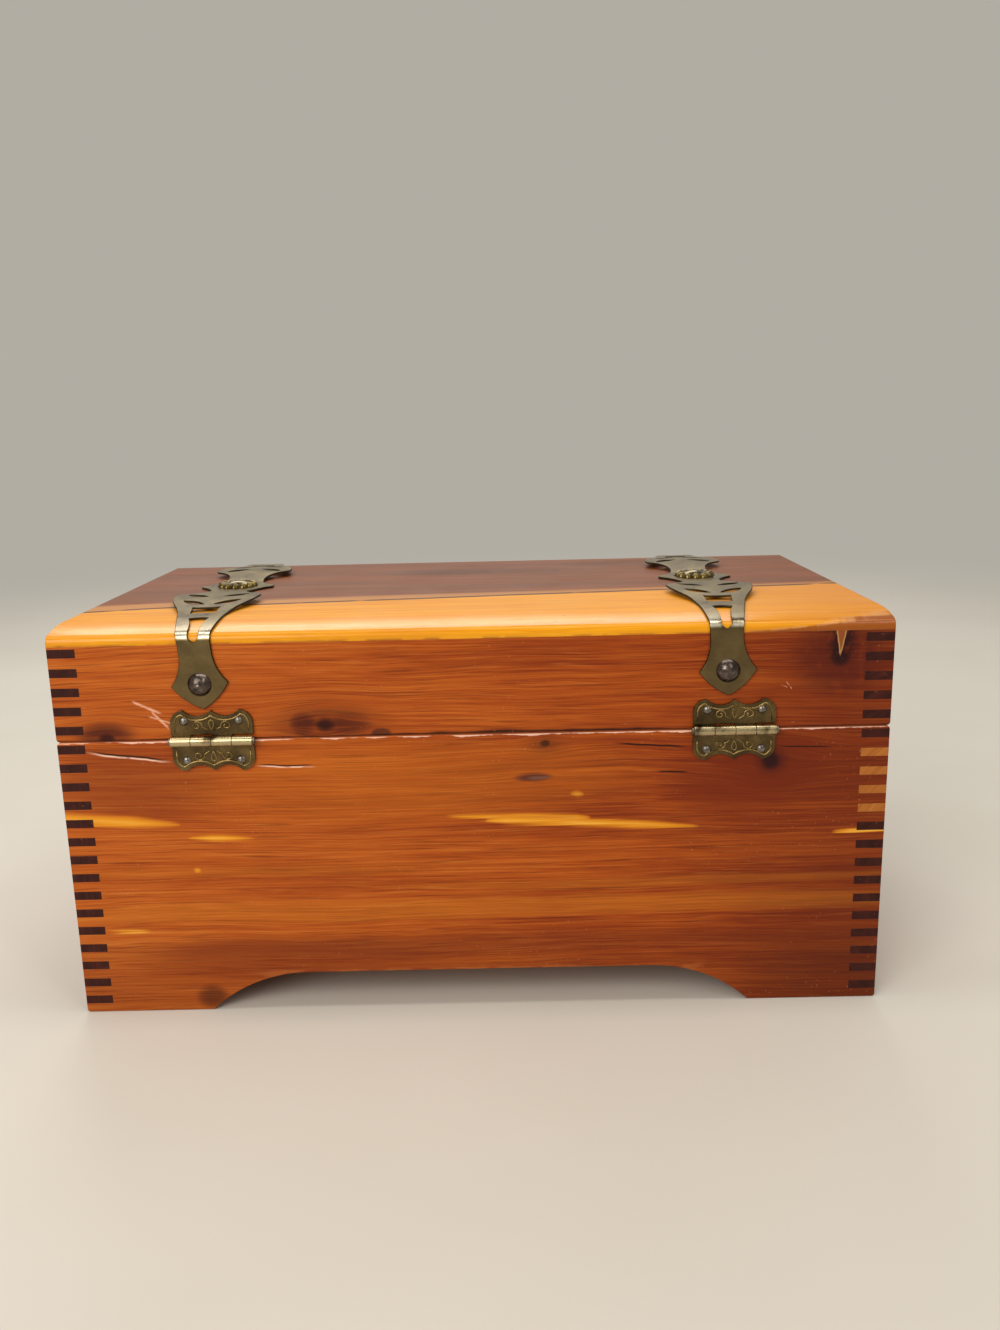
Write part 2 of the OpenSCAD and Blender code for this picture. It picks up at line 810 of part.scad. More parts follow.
module left_rosette() {
    color("#a18432") rosette(LEFT_STRAP);
}

module right_rosette() {
    color("#a18432") rosette(RIGHT_STRAP);
}

module left_strap_nails() {
    color("#4a4340") strap_nails(LEFT_STRAP);
}

module right_strap_nails() {
    color("#4a4340") strap_nails(RIGHT_STRAP);
}

module left_hinge_box_leaf() {
    color("#6b5a34") hinge_leaf(LEFT_HINGE, -1, BOX_KNUCKLES);
}

module left_hinge_lid_leaf() {
    color("#6b5a34") hinge_leaf(LEFT_HINGE, 1, LID_KNUCKLES);
}

module left_hinge_pin() {
    color("#8a8478") pin_shape(LEFT_HINGE);
}

module left_hinge_box_nails() {
    color("#8a8478") hinge_nails(LEFT_HINGE, -1);
}

module left_hinge_lid_nails() {
    color("#8a8478") hinge_nails(LEFT_HINGE, 1);
}

module right_hinge_box_leaf() {
    color("#6b5a34") hinge_leaf(RIGHT_HINGE, -1, BOX_KNUCKLES);
}

module right_hinge_lid_leaf() {
    color("#6b5a34") hinge_leaf(RIGHT_HINGE, 1, LID_KNUCKLES);
}

module right_hinge_pin() {
    color("#8a8478") pin_shape(RIGHT_HINGE);
}

module right_hinge_box_nails() {
    color("#8a8478") hinge_nails(RIGHT_HINGE, -1);
}

module right_hinge_lid_nails() {
    color("#8a8478") hinge_nails(RIGHT_HINGE, 1);
}

module catch_pivot() {
    color("#8c7440") at_pivot() catch_nail();
}

module catch_stud() {
    color("#8c7440") at_stud() catch_nail();
}

box_back();
box_front();
box_left_end();
box_right_end();
box_bottom();
lid_top();
lid_back();
lid_front();
lid_left_end();
lid_right_end();
left_strap();
right_strap();
left_rosette();
right_rosette();
left_strap_nails();
right_strap_nails();
left_hinge_box_leaf();
left_hinge_lid_leaf();
left_hinge_pin();
left_hinge_box_nails();
left_hinge_lid_nails();
right_hinge_box_leaf();
right_hinge_lid_leaf();
right_hinge_pin();
right_hinge_box_nails();
right_hinge_lid_nails();
catch_hook();
catch_pivot();
catch_stud();
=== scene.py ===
# The cedar jewelry box: finishes, stamped hinge relief, pierced straps, camera, light and floor.
import bisect
import math

import bmesh
import bpy
import numpy
from mathutils import Matrix, Vector, geometry, kdtree


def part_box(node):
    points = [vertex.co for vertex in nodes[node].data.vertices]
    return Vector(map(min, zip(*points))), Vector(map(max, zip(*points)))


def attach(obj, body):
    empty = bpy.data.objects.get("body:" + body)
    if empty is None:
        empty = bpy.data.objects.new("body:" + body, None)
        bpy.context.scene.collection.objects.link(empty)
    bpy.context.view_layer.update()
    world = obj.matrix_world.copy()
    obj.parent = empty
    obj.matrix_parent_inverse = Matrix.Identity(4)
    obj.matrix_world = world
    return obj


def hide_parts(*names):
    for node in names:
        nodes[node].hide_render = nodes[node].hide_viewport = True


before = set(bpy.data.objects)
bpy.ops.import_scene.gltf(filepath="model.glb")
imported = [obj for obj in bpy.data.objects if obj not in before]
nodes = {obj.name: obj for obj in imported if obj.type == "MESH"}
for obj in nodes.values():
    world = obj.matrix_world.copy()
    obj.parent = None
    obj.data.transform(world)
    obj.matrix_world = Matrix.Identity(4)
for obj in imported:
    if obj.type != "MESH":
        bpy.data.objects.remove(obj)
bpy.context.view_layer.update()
MM = 0.001


# Places on the solids, in millimetres

def span(node, axis):
    """The lowest and the highest place of a solid along an axis: 0 for x, 1 for y and 2 for z."""
    return [round(corner[axis] / MM, 3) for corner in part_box(node)]


RIM = span("box_back", 2)[1]
JOINT, LID_TOP = span("lid_top", 2)
HALF_D = span("lid_top", 1)[1]
LEAF_T = 0.9
LEAF_FACE = HALF_D + LEAF_T
HINGE_X = {side: sum(span(side + "_hinge_lid_leaf", 0)) / 2 for side in ("right", "left")}


# Shader building

def srgb(code):
    """A colour written as rrggbb, as the linear numbers that shaders take."""
    parts = [int(code[i:i + 2], 16) / 255 for i in (0, 2, 4)]
    return [p / 12.92 if p < 0.04045 else ((p + 0.055) / 1.055) ** 2.4 for p in parts] + [1.0]


class Num:
    """A number that a shader works out, so that plain sums build its nodes."""

    def __init__(self, shader, socket):
        self.shader = shader
        self.socket = socket

    def __add__(self, other):
        return self.shader.math("ADD", self, other)

    def __radd__(self, other):
        return self.shader.math("ADD", other, self)

    def __sub__(self, other):
        return self.shader.math("SUBTRACT", self, other)

    def __rsub__(self, other):
        return self.shader.math("SUBTRACT", other, self)

    def __mul__(self, other):
        return self.shader.math("MULTIPLY", self, other)

    def __truediv__(self, other):
        return self.shader.math("DIVIDE", self, other)


class Shader:
    """A material with a principled shader, and the object's own position in millimetres as x, y and z."""

    def __init__(self, name):
        self.material = bpy.data.materials.new(name)
        self.material.use_nodes = True
        self.tree = self.material.node_tree
        self.tree.nodes.clear()
        self.out = self.tree.nodes.new("ShaderNodeOutputMaterial")
        self.bsdf = self.tree.nodes.new("ShaderNodeBsdfPrincipled")
        self.tree.links.new(self.bsdf.outputs[0], self.out.inputs[0])
        coord = self.tree.nodes.new("ShaderNodeTexCoord")
        self.x, self.y, self.z = [part * (1 / MM) for part in self.split(coord.outputs["Object"])]
        self.nx, self.ny, self.nz = self.split(coord.outputs["Normal"])

    def split(self, vector):
        """A vector's three parts."""
        node = self.tree.nodes.new("ShaderNodeSeparateXYZ")
        self.tree.links.new(vector, node.inputs[0])
        return [Num(self, out) for out in node.outputs]

    def feed(self, socket, value):
        """Links a number or a socket to a socket, or sets a plain value there."""
        if isinstance(value, Num):
            self.tree.links.new(value.socket, socket)
        elif isinstance(value, bpy.types.NodeSocket):
            self.tree.links.new(value, socket)
        else:
            socket.default_value = value

    def math(self, operation, *values, clamp=False):
        node = self.tree.nodes.new("ShaderNodeMath")
        node.operation = operation
        node.use_clamp = clamp
        for socket, value in zip(node.inputs, values):
            self.feed(socket, value)
        return Num(self, node.outputs[0])

    def least(self, a, b):
        return self.math("MINIMUM", a, b)

    def most(self, a, b):
        return self.math("MAXIMUM", a, b)

    def size(self, a):
        return self.math("ABSOLUTE", a)

    def noise(self, u, v, w, detail=2.0, rough=0.5):
        place = self.tree.nodes.new("ShaderNodeCombineXYZ")
        for socket, value in zip(place.inputs, (u, v, w)):
            self.feed(socket, value)
        node = self.tree.nodes.new("ShaderNodeTexNoise")
        self.tree.links.new(place.outputs[0], node.inputs["Vector"])
        node.inputs["Scale"].default_value = 1.0
        node.inputs["Detail"].default_value = detail
        node.inputs["Roughness"].default_value = rough
        return Num(self, node.outputs[0])

    def step(self, value, low, high):
        """0 below low, 1 above high, smooth between; low may be the larger."""
        node = self.tree.nodes.new("ShaderNodeMapRange")
        node.interpolation_type = "SMOOTHSTEP"
        self.feed(node.inputs["Value"], value)
        node.inputs["From Min"].default_value = min(low, high)
        node.inputs["From Max"].default_value = max(low, high)
        node.inputs["To Min"].default_value = 0.0 if low < high else 1.0
        node.inputs["To Max"].default_value = 1.0 if low < high else 0.0
        return Num(self, node.outputs[0])

    def mix(self, amount, a, b):
        """A mix of two colours, which are sockets 6 and 7 of the node."""
        node = self.tree.nodes.new("ShaderNodeMix")
        node.data_type = "RGBA"
        self.feed(node.inputs[0], amount)
        self.feed(node.inputs[6], a)
        self.feed(node.inputs[7], b)
        return node.outputs[2]

    def ramp(self, value, stops):
        """The colour at a value between stops of (place, code)."""
        node = self.tree.nodes.new("ShaderNodeValToRGB")
        self.feed(node.inputs[0], value)
        marks = node.color_ramp.elements
        while len(marks) < len(stops):
            marks.new(0.5)
        for mark, (place, code) in zip(marks, stops):
            mark.position = place
            mark.color = srgb(code)
        return node.outputs[0]

    def spot(self, u, v, u0, v0, half_u, half_v, soft):
        """1 inside an ellipse, fading to 0 round its edge."""
        du = (u - u0) / half_u
        dv = (v - v0) / half_v
        return self.step(du * du + dv * dv, 1 + soft, 1 - soft)

    def line(self, u, v, a, b, width, taper=0.25):
        """1 on a line from a to b that thins out at both ends."""
        run = b[0] - a[0]
        along = (u - a[0]) / run
        off = self.size(v - (a[1] + along * (b[1] - a[1])))
        ends = self.step(along, -0.02, taper) * self.step(along, 1.02, 1 - taper)
        return self.step(off, width, width * 0.35) * ends

    def finish(self, color, rough, bump=None, depth=0.1, strength=0.4, edge=0.0, **constant):
        """Ends the material; edge is the radius in millimetres to which its sharp edges look worn."""
        self.feed(self.bsdf.inputs["Base Color"], color)
        self.feed(self.bsdf.inputs["Roughness"], rough)
        if bump is not None:
            node = self.tree.nodes.new("ShaderNodeBump")
            node.inputs["Strength"].default_value = strength
            node.inputs["Distance"].default_value = depth * MM
            self.feed(node.inputs["Height"], bump)
            self.tree.links.new(node.outputs[0], self.bsdf.inputs["Normal"])
            if edge:
                round_edge = self.tree.nodes.new("ShaderNodeBevel")
                round_edge.samples = 4
                round_edge.inputs["Radius"].default_value = edge * MM
                self.tree.links.new(round_edge.outputs[0], node.inputs["Normal"])
        for name, value in constant.items():
            self.bsdf.inputs[name.replace("_", " ")].default_value = value
        return self.material


# Wood

HEART = [(0.0, "5a1d08"), (0.3, "82310c"), (0.5, "a04711"), (0.7, "b65b1a"), (1.0, "cd7c33")]
END_GRAIN = [(0.0, "1c0907"), (0.4, "34130f"), (0.7, "471d14"), (1.0, "62301f")]
SAP = [(0.0, "b5620c"), (0.35, "d6870e"), (0.65, "e89f18"), (1.0, "f3bb40")]
STREAK = [(0.0, "a8500f"), (0.35, "c8741a"), (0.65, "e0921f"), (1.0, "f2b548")]
PALE_ENDS = [(0.25, "a65f27"), (0.75, "c27832")]
GRAIN_DEPTH = 0.12
WORN_EDGE = 0.35


class Cedar(Shader):
    """Red cedar: in millimetres, u is along the grain, v across the face and w through the board."""

    def __init__(self, name, grain, across, through, seed):
        super().__init__(name)
        axes = {"x": (self.x, self.nx), "y": (self.y, self.ny), "z": (self.z, self.nz)}
        self.u, end = axes[grain]
        self.v = axes[across][0]
        self.w = axes[through][0]
        self.seed = seed
        self.end = self.step(self.size(end), 0.62, 0.8)
        self.knots = []
        self.color = None

    def knot(self, u0, v0, r):
        """Bends the grain round a knot and darkens its eye; comes before grain()."""
        du = (self.u - u0) / (r * 2.6)
        dv = (self.v - v0) / (r * 1.5)
        near = self.math("EXPONENT", (du * du + dv * dv) * -1.0)
        self.knots.append((u0, v0, r, near))

    def fibres(self, v, along, across, through, shift=0.0, detail=2.0, rough=0.5):
        """Noise drawn out along the grain, by its lengths along, across and through the board."""
        return self.noise(self.u / along + self.seed, v / across, self.w / through + shift, detail, rough)

    def grain(self, warm=0.0, bands=1.0, lean=0.0):
        """Works out the growth lines and the heartwood's colour, which lean makes lighter along u."""
        v = self.v
        sway = self.fibres(v, 130, 34, 40, detail=1.5)
        ripple = self.fibres(v, 30, 9, 12, detail=1.0)
        bent = v + (sway - 0.5) * 7 + (ripple - 0.5) * 1.3
        for u0, v0, r, near in self.knots:
            bent = bent + near * (v - v0) * -0.75
        self.bent = bent
        broad = self.fibres(bent, 360, 15, 20, detail=2.5, rough=0.6)
        cloud = self.fibres(v, 60, 13, 20, detail=3.0, rough=0.6)
        self.lines = self.fibres(bent, 190, 1.1, 2.2, detail=3.0, rough=0.62)
        self.threads = self.fibres(bent, 34, 0.6, 1.2, rough=0.6)
        self.fibre = self.fibres(bent, 16, 0.3, 0.5, rough=0.6)
        hairs = self.step(self.fibres(bent, 26, 0.5, 1.5), 0.56, 0.68)
        gleam = self.step(self.fibres(bent, 18, 0.42, 1.2, shift=7.0), 0.58, 0.7)
        flecks = self.step(self.fibres(bent, 8, 0.24, 0.5, detail=1.0), 0.66, 0.76)
        tone = (broad - 0.5) * (0.62 * bands) + (cloud - 0.5) * (0.42 * bands)
        tone = tone + (self.lines - 0.5) * 0.4 + (self.threads - 0.5) * 0.62 + (self.fibre - 0.5) * 0.3
        self.color = self.ramp(tone + (0.5 + warm) + self.u * lean, HEART)
        self.paint(gleam * 0.22, "cf8038")
        self.paint(hairs * 0.5, "561b08")
        self.paint(flecks * 0.35, "551d09")
        uneven = self.step(self.threads + (cloud - 0.5) * 1.2, 0.25, 0.7)
        frayed = v + (ripple - 0.5) * 3.5 + (self.threads - 0.5) * 2.5
        for u0, v0, r, near in self.knots:
            self.paint(near * uneven * 0.8, "4a160a")
            self.blot((u0, v0), (r * 0.6, r * 0.45), 0.95, "1c0806", 0.85, frayed)
        self.relief = self.lines * 0.5 + self.threads * 0.3 + self.fibre * 0.4 - hairs * 0.3

    def paint(self, amount, code):
        self.color = self.mix(amount, self.color, srgb(code))

    def blot(self, place, half, amount, code, soft=0.9, across=None):
        """Paints an oval; across stands in for v where it bends with the grain or has a frayed edge."""
        v = self.v if across is None else across
        self.paint(self.spot(self.u, v, *place, *half, soft) * amount, code)

    def sapwood(self, amount):
        pale = self.ramp((self.lines - 0.5) * 0.8 + (self.fibre - 0.5) * 0.6 + 0.5, SAP)
        self.color = self.mix(amount, self.color, pale)

    def streak(self, a, b, half, points, strength=0.92):
        """A pale streak from a to b with ragged edges; points are the shares of its length that taper."""
        along = (self.u - a[0]) / (b[0] - a[0])
        ragged = self.v + (self.threads - 0.5) * 1.8 + (self.lines - 0.5) * 1.2
        off = self.size(ragged - (along * (b[1] - a[1]) + a[1]))
        first = self.math("DIVIDE", along, points[0], clamp=True)
        last = self.math("DIVIDE", 1.0 - along, points[1], clamp=True)
        width = self.math("SQRT", first * last) * (half + 0.3)
        inside = self.step(width - off, -0.5, 0.8) * self.step(width, 0.05, 0.6)
        tone = (width - off) * (0.5 / half) + (self.threads - 0.5) * 0.5 + (self.lines - 0.5) * 0.4 + 0.25
        self.color = self.mix(inside * strength, self.color, self.ramp(tone, STREAK))

    def crack(self, a, b, width, lip=0.0):
        """A dark hairline crack, with a pale chipped lip below it if lip is its height."""
        wavy = self.v + (self.noise(self.u / 9 + self.seed, self.v / 40, 3.0) - 0.5) * 1.2
        if lip:
            low = self.line(self.u, wavy + lip, a, b, lip)
            self.paint(low * self.step(self.noise(self.u / 6, self.v / 2, 5.0), 0.36, 0.52) * 0.9, "efbfa6")
        mark = self.line(self.u, wavy, a, b, width)
        self.paint(mark * 0.92, "210a05")
        self.relief = self.relief - mark * 2.5

    def scratch(self, a, b, width):
        """A scratch through the varnish that leaves bare pale wood."""
        rough_line = self.v + (self.fibre - 0.5) * 0.9
        mark = self.line(self.u, rough_line, a, b, width, 0.15)
        self.paint(mark * self.step(self.fibre, 0.3, 0.5) * 0.85, "e6ab8c")
        self.relief = self.relief - mark

    def end_grain(self, light=None):
        """The cut ends of the boards: close dark rings; light gives where they are paler sapwood."""
        ring_v = self.v - 40
        ring_w = self.w + 160
        far = self.math("SQRT", ring_v * ring_v + ring_w * ring_w)
        rings = self.noise(far / 0.9 + self.seed, self.v / 30, self.w / 30)
        soft = self.noise(self.v / 5 + self.seed, self.w / 5, self.u / 5)
        ends = self.ramp((rings - 0.5) * 0.7 + (soft - 0.5) * 0.6 + 0.45, END_GRAIN)
        if light is not None:
            ends = self.mix(light, ends, self.ramp(rings, PALE_ENDS))
        self.color = self.mix(self.end, self.color, ends)

    def varnish(self, rough=0.36, coat=0.06, gloss_level=0.12):
        """Ends the wood with its old varnish, whose gloss is uneven; rough may vary over the board."""
        worn = self.noise(self.x / 22, self.y / 22 + self.seed, self.z / 22, detail=3.0)
        smear = self.noise(self.u / 60, self.v / 4, self.w / 4, detail=3.0)
        specks = self.noise(self.x / 0.9, self.y / 0.9, self.z / 0.9, detail=1.0)
        rubbed = self.step(specks, 0.7, 0.78) * self.step(worn, 0.45, 0.65)
        self.paint(rubbed * 0.22, "d9955f")
        gloss = (worn - 0.5) * 0.22 + (smear - 0.5) * 0.14 + rough + self.end * 0.15
        return self.finish(
            self.color, gloss, self.relief, depth=GRAIN_DEPTH, strength=0.35, edge=WORN_EDGE,
            Coat_Weight=coat, Coat_Roughness=0.2, Specular_IOR_Level=gloss_level
        )


def each(draw, *rows):
    """Draws one mark for each row of its places and sizes."""
    for row in rows:
        draw(*row)


def raw_rim(wood, up):
    """The sawn rim that the lid hides, bare of varnish; up is 1 on the box and -1 on the lid."""
    rim = wood.step(wood.nz * up, 0.6, 0.8) * wood.step((wood.z - RIM) * up, -1.0, -0.5)
    wood.paint(rim * 0.55, "b06a44")
    wood.paint(rim * wood.step(wood.noise(wood.x / 1.2, wood.y / 1.2, 2.0), 0.5, 0.7) * 0.4, "7c3f22")
    return wood.step(wood.size(wood.nz), 0.6, 0.3)


def saw_chips(wood, height, amount):
    """Pale chipped wood along the box's rim, where the saw parted the lid from it."""
    side = raw_rim(wood, 1)
    ragged = wood.noise(wood.x / 11, wood.y / 11, 1.0, detail=3.5, rough=0.7)
    reach = (ragged - 0.3) * (height * 3.6)
    chips = wood.step(RIM - wood.z - reach, 0.1, -0.2) * wood.step(ragged, 0.3, 0.4)
    wood.paint(chips * side * amount, "ecc0aa")


def saw_shade(wood, height, amount):
    """The lid's lower edge, darkened with painted shade of the gap at the saw cut; height may vary along the
    board.
    """
    side = raw_rim(wood, -1)
    ragged = wood.noise(wood.x / 14, wood.y / 14, 6.0)
    above = (wood.z - RIM) / height - (ragged - 0.4)
    wood.paint(wood.step(above, 1.0, 0.35) * side * amount, "1a0806")


def split_knot(wood):
    """A split knot at the lid's upper corner: two pale lines meet in a V, with dark wood beside them."""
    high, apex, middle = 121.0, 113.1, -110.9
    left_x, left_slope = -109.5, -0.177
    right_x, right_slope = -112.4, 0.19
    dark = "1f0a0d"
    fall = high - wood.z
    wander = (wood.noise(3.0, 1.0, wood.z / 2.5) - 0.5) * 0.7
    left = fall * left_slope + left_x + wander
    right = fall * right_slope + right_x + wander
    out = wood.most(wood.x - left, right - wood.x)
    tall = wood.step(wood.z, apex - 0.8, apex + 1.0)
    patch = wood.step(wood.noise(wood.x / 3.5, 5.0, wood.z / 4.5, detail=3.0), 0.22, 0.5)
    wood.blot((middle, apex - 0.1), (13.0, 11.0), patch * 0.6, "471511")
    beside = wood.step(out + (wood.threads - 0.5) * 3.0, 5.0, 0.7)
    flank = beside * wood.step(wood.z, apex - 4.5, apex + 2.0)
    wood.paint(flank * patch * 0.85, dark)
    wood.blot((middle, apex - 0.6), (2.6, 2.6), patch * 0.85, dark, 0.95)
    wood.paint(wood.step(out, 0.1, -0.4) * tall * 0.8, "9a5326")
    wood.paint(wood.step(wood.size(out), 0.3, 0.1) * tall * 0.6, "d3a066")


# How much lighter the back boards get towards +x: partly the wood's tone, partly painted light
BACK_LEAN = 0.0011


def shade_box_back(wood):
    """Broad tones that follow the grain, darker towards the -x end and the feet, partly the wood's own tone
    and partly painted shade.
    """
    # Darker towards the -x end, the feet and the corner between them: partly the wood's tone, partly painted
    # shade
    wood.paint(wood.step(wood.x, -50, -122) * 0.45, "5e2009")
    wood.paint(wood.step(wood.z, 30, 10) * 0.3, "62270e")
    wood.paint(wood.step(wood.x, -70, -110) * wood.step(wood.z, 34, 12) * 0.35, "441707")
    # Middle, half sizes and strength
    dark_areas = (
        ((104, 77), (26, 12), 0.5),
        ((-80, 73), (19, 10), 0.6),
        ((-94, 81), (14, 7), 0.5),
        ((58, 18), (46, 7), 0.45),
    )
    for place, half, share in dark_areas:
        wood.blot(place, half, share, "6e240a", across=wood.bent)
    # The knot that shows below the left hinge, and a stain on a foot
    frayed = wood.z + (wood.threads - 0.5) * 2.6
    wood.blot((-91.2, 80.4), (4.6, 4.4), 0.6, "431310", 0.95, frayed)
    wood.blot((-91.0, 80.2), (2.5, 2.7), 0.85, "1e0b0e", 0.9, frayed)
    wood.blot((86.0, 4.6), (4.6, 3.6), 0.65, "2a0d08", 0.95, frayed)
    wood.blot((20, 76), (62, 12), 0.3, "c26a18", across=wood.bent)
    light_bands = (
        ((10, 33.5), (165, 3.4), 0.3),
        ((-60, 41), (80, 1.6), 0.22),
        ((70, 47), (60, 2.0), 0.2),
    )
    for place, half, share in light_bands:
        wood.blot(place, half, share, "c4741f", 0.8, wood.bent)
    wood.blot((0, 21), (110, 3.4), 0.3, "5f2410", 0.8, wood.bent)


def mark_box_back(wood):
    """Pale streaks, a grey stain and hairline cracks, where the photo shows them."""
    # Both ends, half width, shares that taper and strength
    each(
        wood.streak,
        ((130, 66.4), (91.2, 63.4), 1.9, (0.05, 0.4)),
        ((90, 59.2), (68.0, 58.6), 1.0, (0.35, 0.5)),
        ((9.5, 64.6), (-36, 62.9), 1.15, (0.5, 0.1)),
        ((-3, 63.1), (-70, 59.6), 1.25, (0.1, 0.3)),
        ((-110.5, 56.8), (-128, 57.2), 0.75, (0.35, 0.05)),
        ((120, 28.3), (103, 28.0), 0.5, (0.4, 0.4), 0.6),
        ((89, 48.4), (86, 48.3), 0.6, (0.4, 0.4), 0.7),
        ((-29.5, 71.2), (-34, 70.8), 0.9, (0.4, 0.4), 0.5),
    )
    frayed = wood.z + (wood.threads - 0.5) * 2.6
    wood.blot((-18.2, 76.8), (5.4, 1.5), 0.8, "3d1f1f", 0.8, frayed)
    wood.blot((-20.0, 76.4), (3.4, 0.5), 0.5, "7d5a4c", 0.8, frayed)
    # Both ends, width and height of the pale lip
    each(
        wood.crack,
        ((92, 84.3), (118.7, 87.9), 0.45, 0.5),
        ((48, 81.8), (67, 82.5), 0.32, 0.4),
        ((-67.5, 85.2), (-41.8, 87.0), 0.45),
        ((-110.6, 84.2), (-92.2, 85.0), 0.32),
        ((-66.4, 77.2), (-55.7, 77.8), 0.38),
    )


def box_back_wood():
    wood = Cedar("cedar_box_back", "x", "z", "y", 3.1)
    wood.knot(-22, 87.5, 2.4)
    wood.knot(-91.5, 80.0, 4.6)
    wood.grain(warm=-0.01, lean=BACK_LEAN)
    shade_box_back(wood)
    mark_box_back(wood)
    saw_chips(wood, 0.8, 0.9)
    # The edge of the arch between the feet is worn pale in places
    arch = wood.step(wood.z, 14.2, 12.6) * wood.step(wood.size(wood.x), 80, 60)
    wood.paint(arch * wood.step(wood.noise(wood.x / 12, 2.0, wood.z / 3), 0.45, 0.6) * 0.4, "c07238")
    wood.end_grain()
    return wood.varnish()


def lid_back_wood():
    wood = Cedar("cedar_lid_back", "x", "z", "y", 11.7)
    wood.knot(44.8, 94.6, 4.6)
    wood.knot(111.5, 92.2, 3.8)
    wood.grain(lean=BACK_LEAN)
    # Darker towards the -x end: partly the wood's tone, partly painted shade
    wood.paint(wood.step(wood.x, -60, -120) * 0.6, "5a1a0a")
    split_knot(wood)
    hazes = (
        ((44, 95), (18, 5), 0.35),
        ((51.5, 95.2), (3.6, 3.0), 0.75),
        ((37.5, 95), (6, 3.2), 0.6),
        ((112, 92.6), (8, 4), 0.8),
    )
    broken = wood.step(wood.threads, 0.15, 0.55)
    for place, half, share in hazes:
        wood.blot(place, half, broken * share, "3d0f0b", 0.95)
    # Both ends and width
    each(
        wood.scratch,
        ((92.1, 94.4), (97.4, 100.2), 0.8),
        ((94.0, 99.2), (103.0, 103.4), 0.6),
        ((89.5, 95.6), (98.5, 98.6), 0.35),
        ((-96.8, 102.8), (-94.9, 105.3), 0.2),
        ((-95.4, 103.4), (-93.4, 104.2), 0.17),
    )
    wood.blot((27.8, 91.8), (3.0, 1.5), 0.7, "2c1a14", 0.5)
    # The painted shade of the gap at the saw cut reaches higher between the hinges
    saw_shade(wood, wood.step(wood.x, 36, 6) * wood.step(wood.x, -66, -50) * 0.8 + 0.7, 0.92)
    wood.end_grain()
    return wood.varnish()


def saw_edge(wood, name):
    """The edge at the saw cut, on a board that the photo doesn't show."""
    if name.startswith("cedar_box"):
        saw_chips(wood, 0.6, 0.8)
    else:
        saw_shade(wood, 0.7, 0.8)


def front_wood(name, seed):
    """The front board of the box or the lid."""
    wood = Cedar(name, "x", "z", "y", seed)
    wood.knot(-61 + seed, 60 + seed, 3.4)
    wood.knot(38 + seed, 104, 2.4)
    wood.grain(lean=-0.0006)
    each(
        wood.streak,
        ((92, 46), (18, 48.4), 1.4, (0.4, 0.15)),
        ((-52, 75.5), (-96, 74), 1.1, (0.2, 0.5)),
        ((6, 28.4), (-46, 27.6), 0.8, (0.3, 0.3), 0.7),
        ((70, 112), (20, 110.6), 1.0, (0.3, 0.4)),
    )
    saw_edge(wood, name)
    wood.end_grain()
    return wood.varnish()


def end_wood(name, seed, light=None):
    """An end board; light gives the heights between which its end grain is pale."""
    wood = Cedar(name, "y", "z", "x", seed)
    wood.knot(-24 + seed, 52, 3.8)
    wood.grain(warm=-0.04)
    each(
        wood.streak,
        ((50, 70.6), (4, 69.2), 1.2, (0.3, 0.4)),
        ((-10, 24), (-48, 24.8), 0.9, (0.3, 0.3), 0.7),
        ((30, 108), (-20, 109.5), 1.0, (0.4, 0.2)),
    )
    saw_edge(wood, name)
    pale = None
    if light is not None:
        low, high = light
        pale = wood.step(wood.z, low - 1, low + 1) * wood.step(wood.z, high + 1, high - 1) * 0.85
    wood.end_grain(pale)
    return wood.varnish()


def fade_top(wood):
    """The heartwood of the top, faded by light and dust, is browner than the sides and has dark smudges."""
    wood.paint(0.52, "624524")
    wood.paint((wood.lines - 0.35) * 0.8, "42210d")
    broken = wood.step(wood.threads, 0.2, 0.6)
    smudges = (
        ((6, -30), (26, 8), 0.45),
        ((-62, -44), (30, 7), 0.3),
        ((70, -8), (34, 6), 0.3),
    )
    for place, half, share in smudges:
        wood.blot(place, half, broken * share, "33190f", 0.95, wood.bent)


def past_seam(wood):
    """How far a place lies past the seam that crosses the top at a slant, towards the hinges."""
    wave = (wood.noise(wood.x / 30, 4.0, 2.0) - 0.5) * 1.6
    seam = 30.5 + wood.x * 0.0955 + wood.step(wood.x, 100, 130) * 3.5 + wave
    return wood.y - seam


def pale_top(wood, past, pale_side):
    """A faded band in front of the seam, and pale sapwood past it with warmer patches."""
    band = wood.step(past + wood.x * 0.03 + (wood.lines - 0.5) * 9 + 10.5, 0.0, 6.0)
    wood.paint(band * (wood.step(wood.x, -20, 60) * 0.15 + 0.65), "c48645")
    wood.sapwood(wood.step(past, -0.3, 0.3))
    warm = wood.noise(wood.x / 55, wood.y / 6, 7.0, detail=3.0)
    wood.paint(pale_side * wood.step(warm, 0.46, 0.7) * 0.4, "d07f1e")
    wood.paint(pale_side * wood.step(wood.x, -60, -126) * 0.35, "b5651f")


def torn_wedge(wood, sapwood):
    """At the photographed right, a ragged wedge of heartwood shows under the sapwood of the rolled edge."""
    wedge = wood.z - JOINT + (wood.lines - 0.5) * 2.2 - wood.step(wood.x, -82, -127) * 3.9
    torn = wood.step(wood.x, -74, -96) * sapwood
    wood.paint(wood.step(wedge, 0.4, -0.4) * torn * 0.85, "8a4219")
    # A pale line along the wedge's torn edge: a painted highlight where its ridge catches the light
    broken = wood.step(wood.noise(wood.x / 5, 8.0, 3.0), 0.4, 0.55)
    wood.paint(wood.step(wood.size(wedge), 0.7, 0.2) * broken * torn * 0.4, "d9a06c")


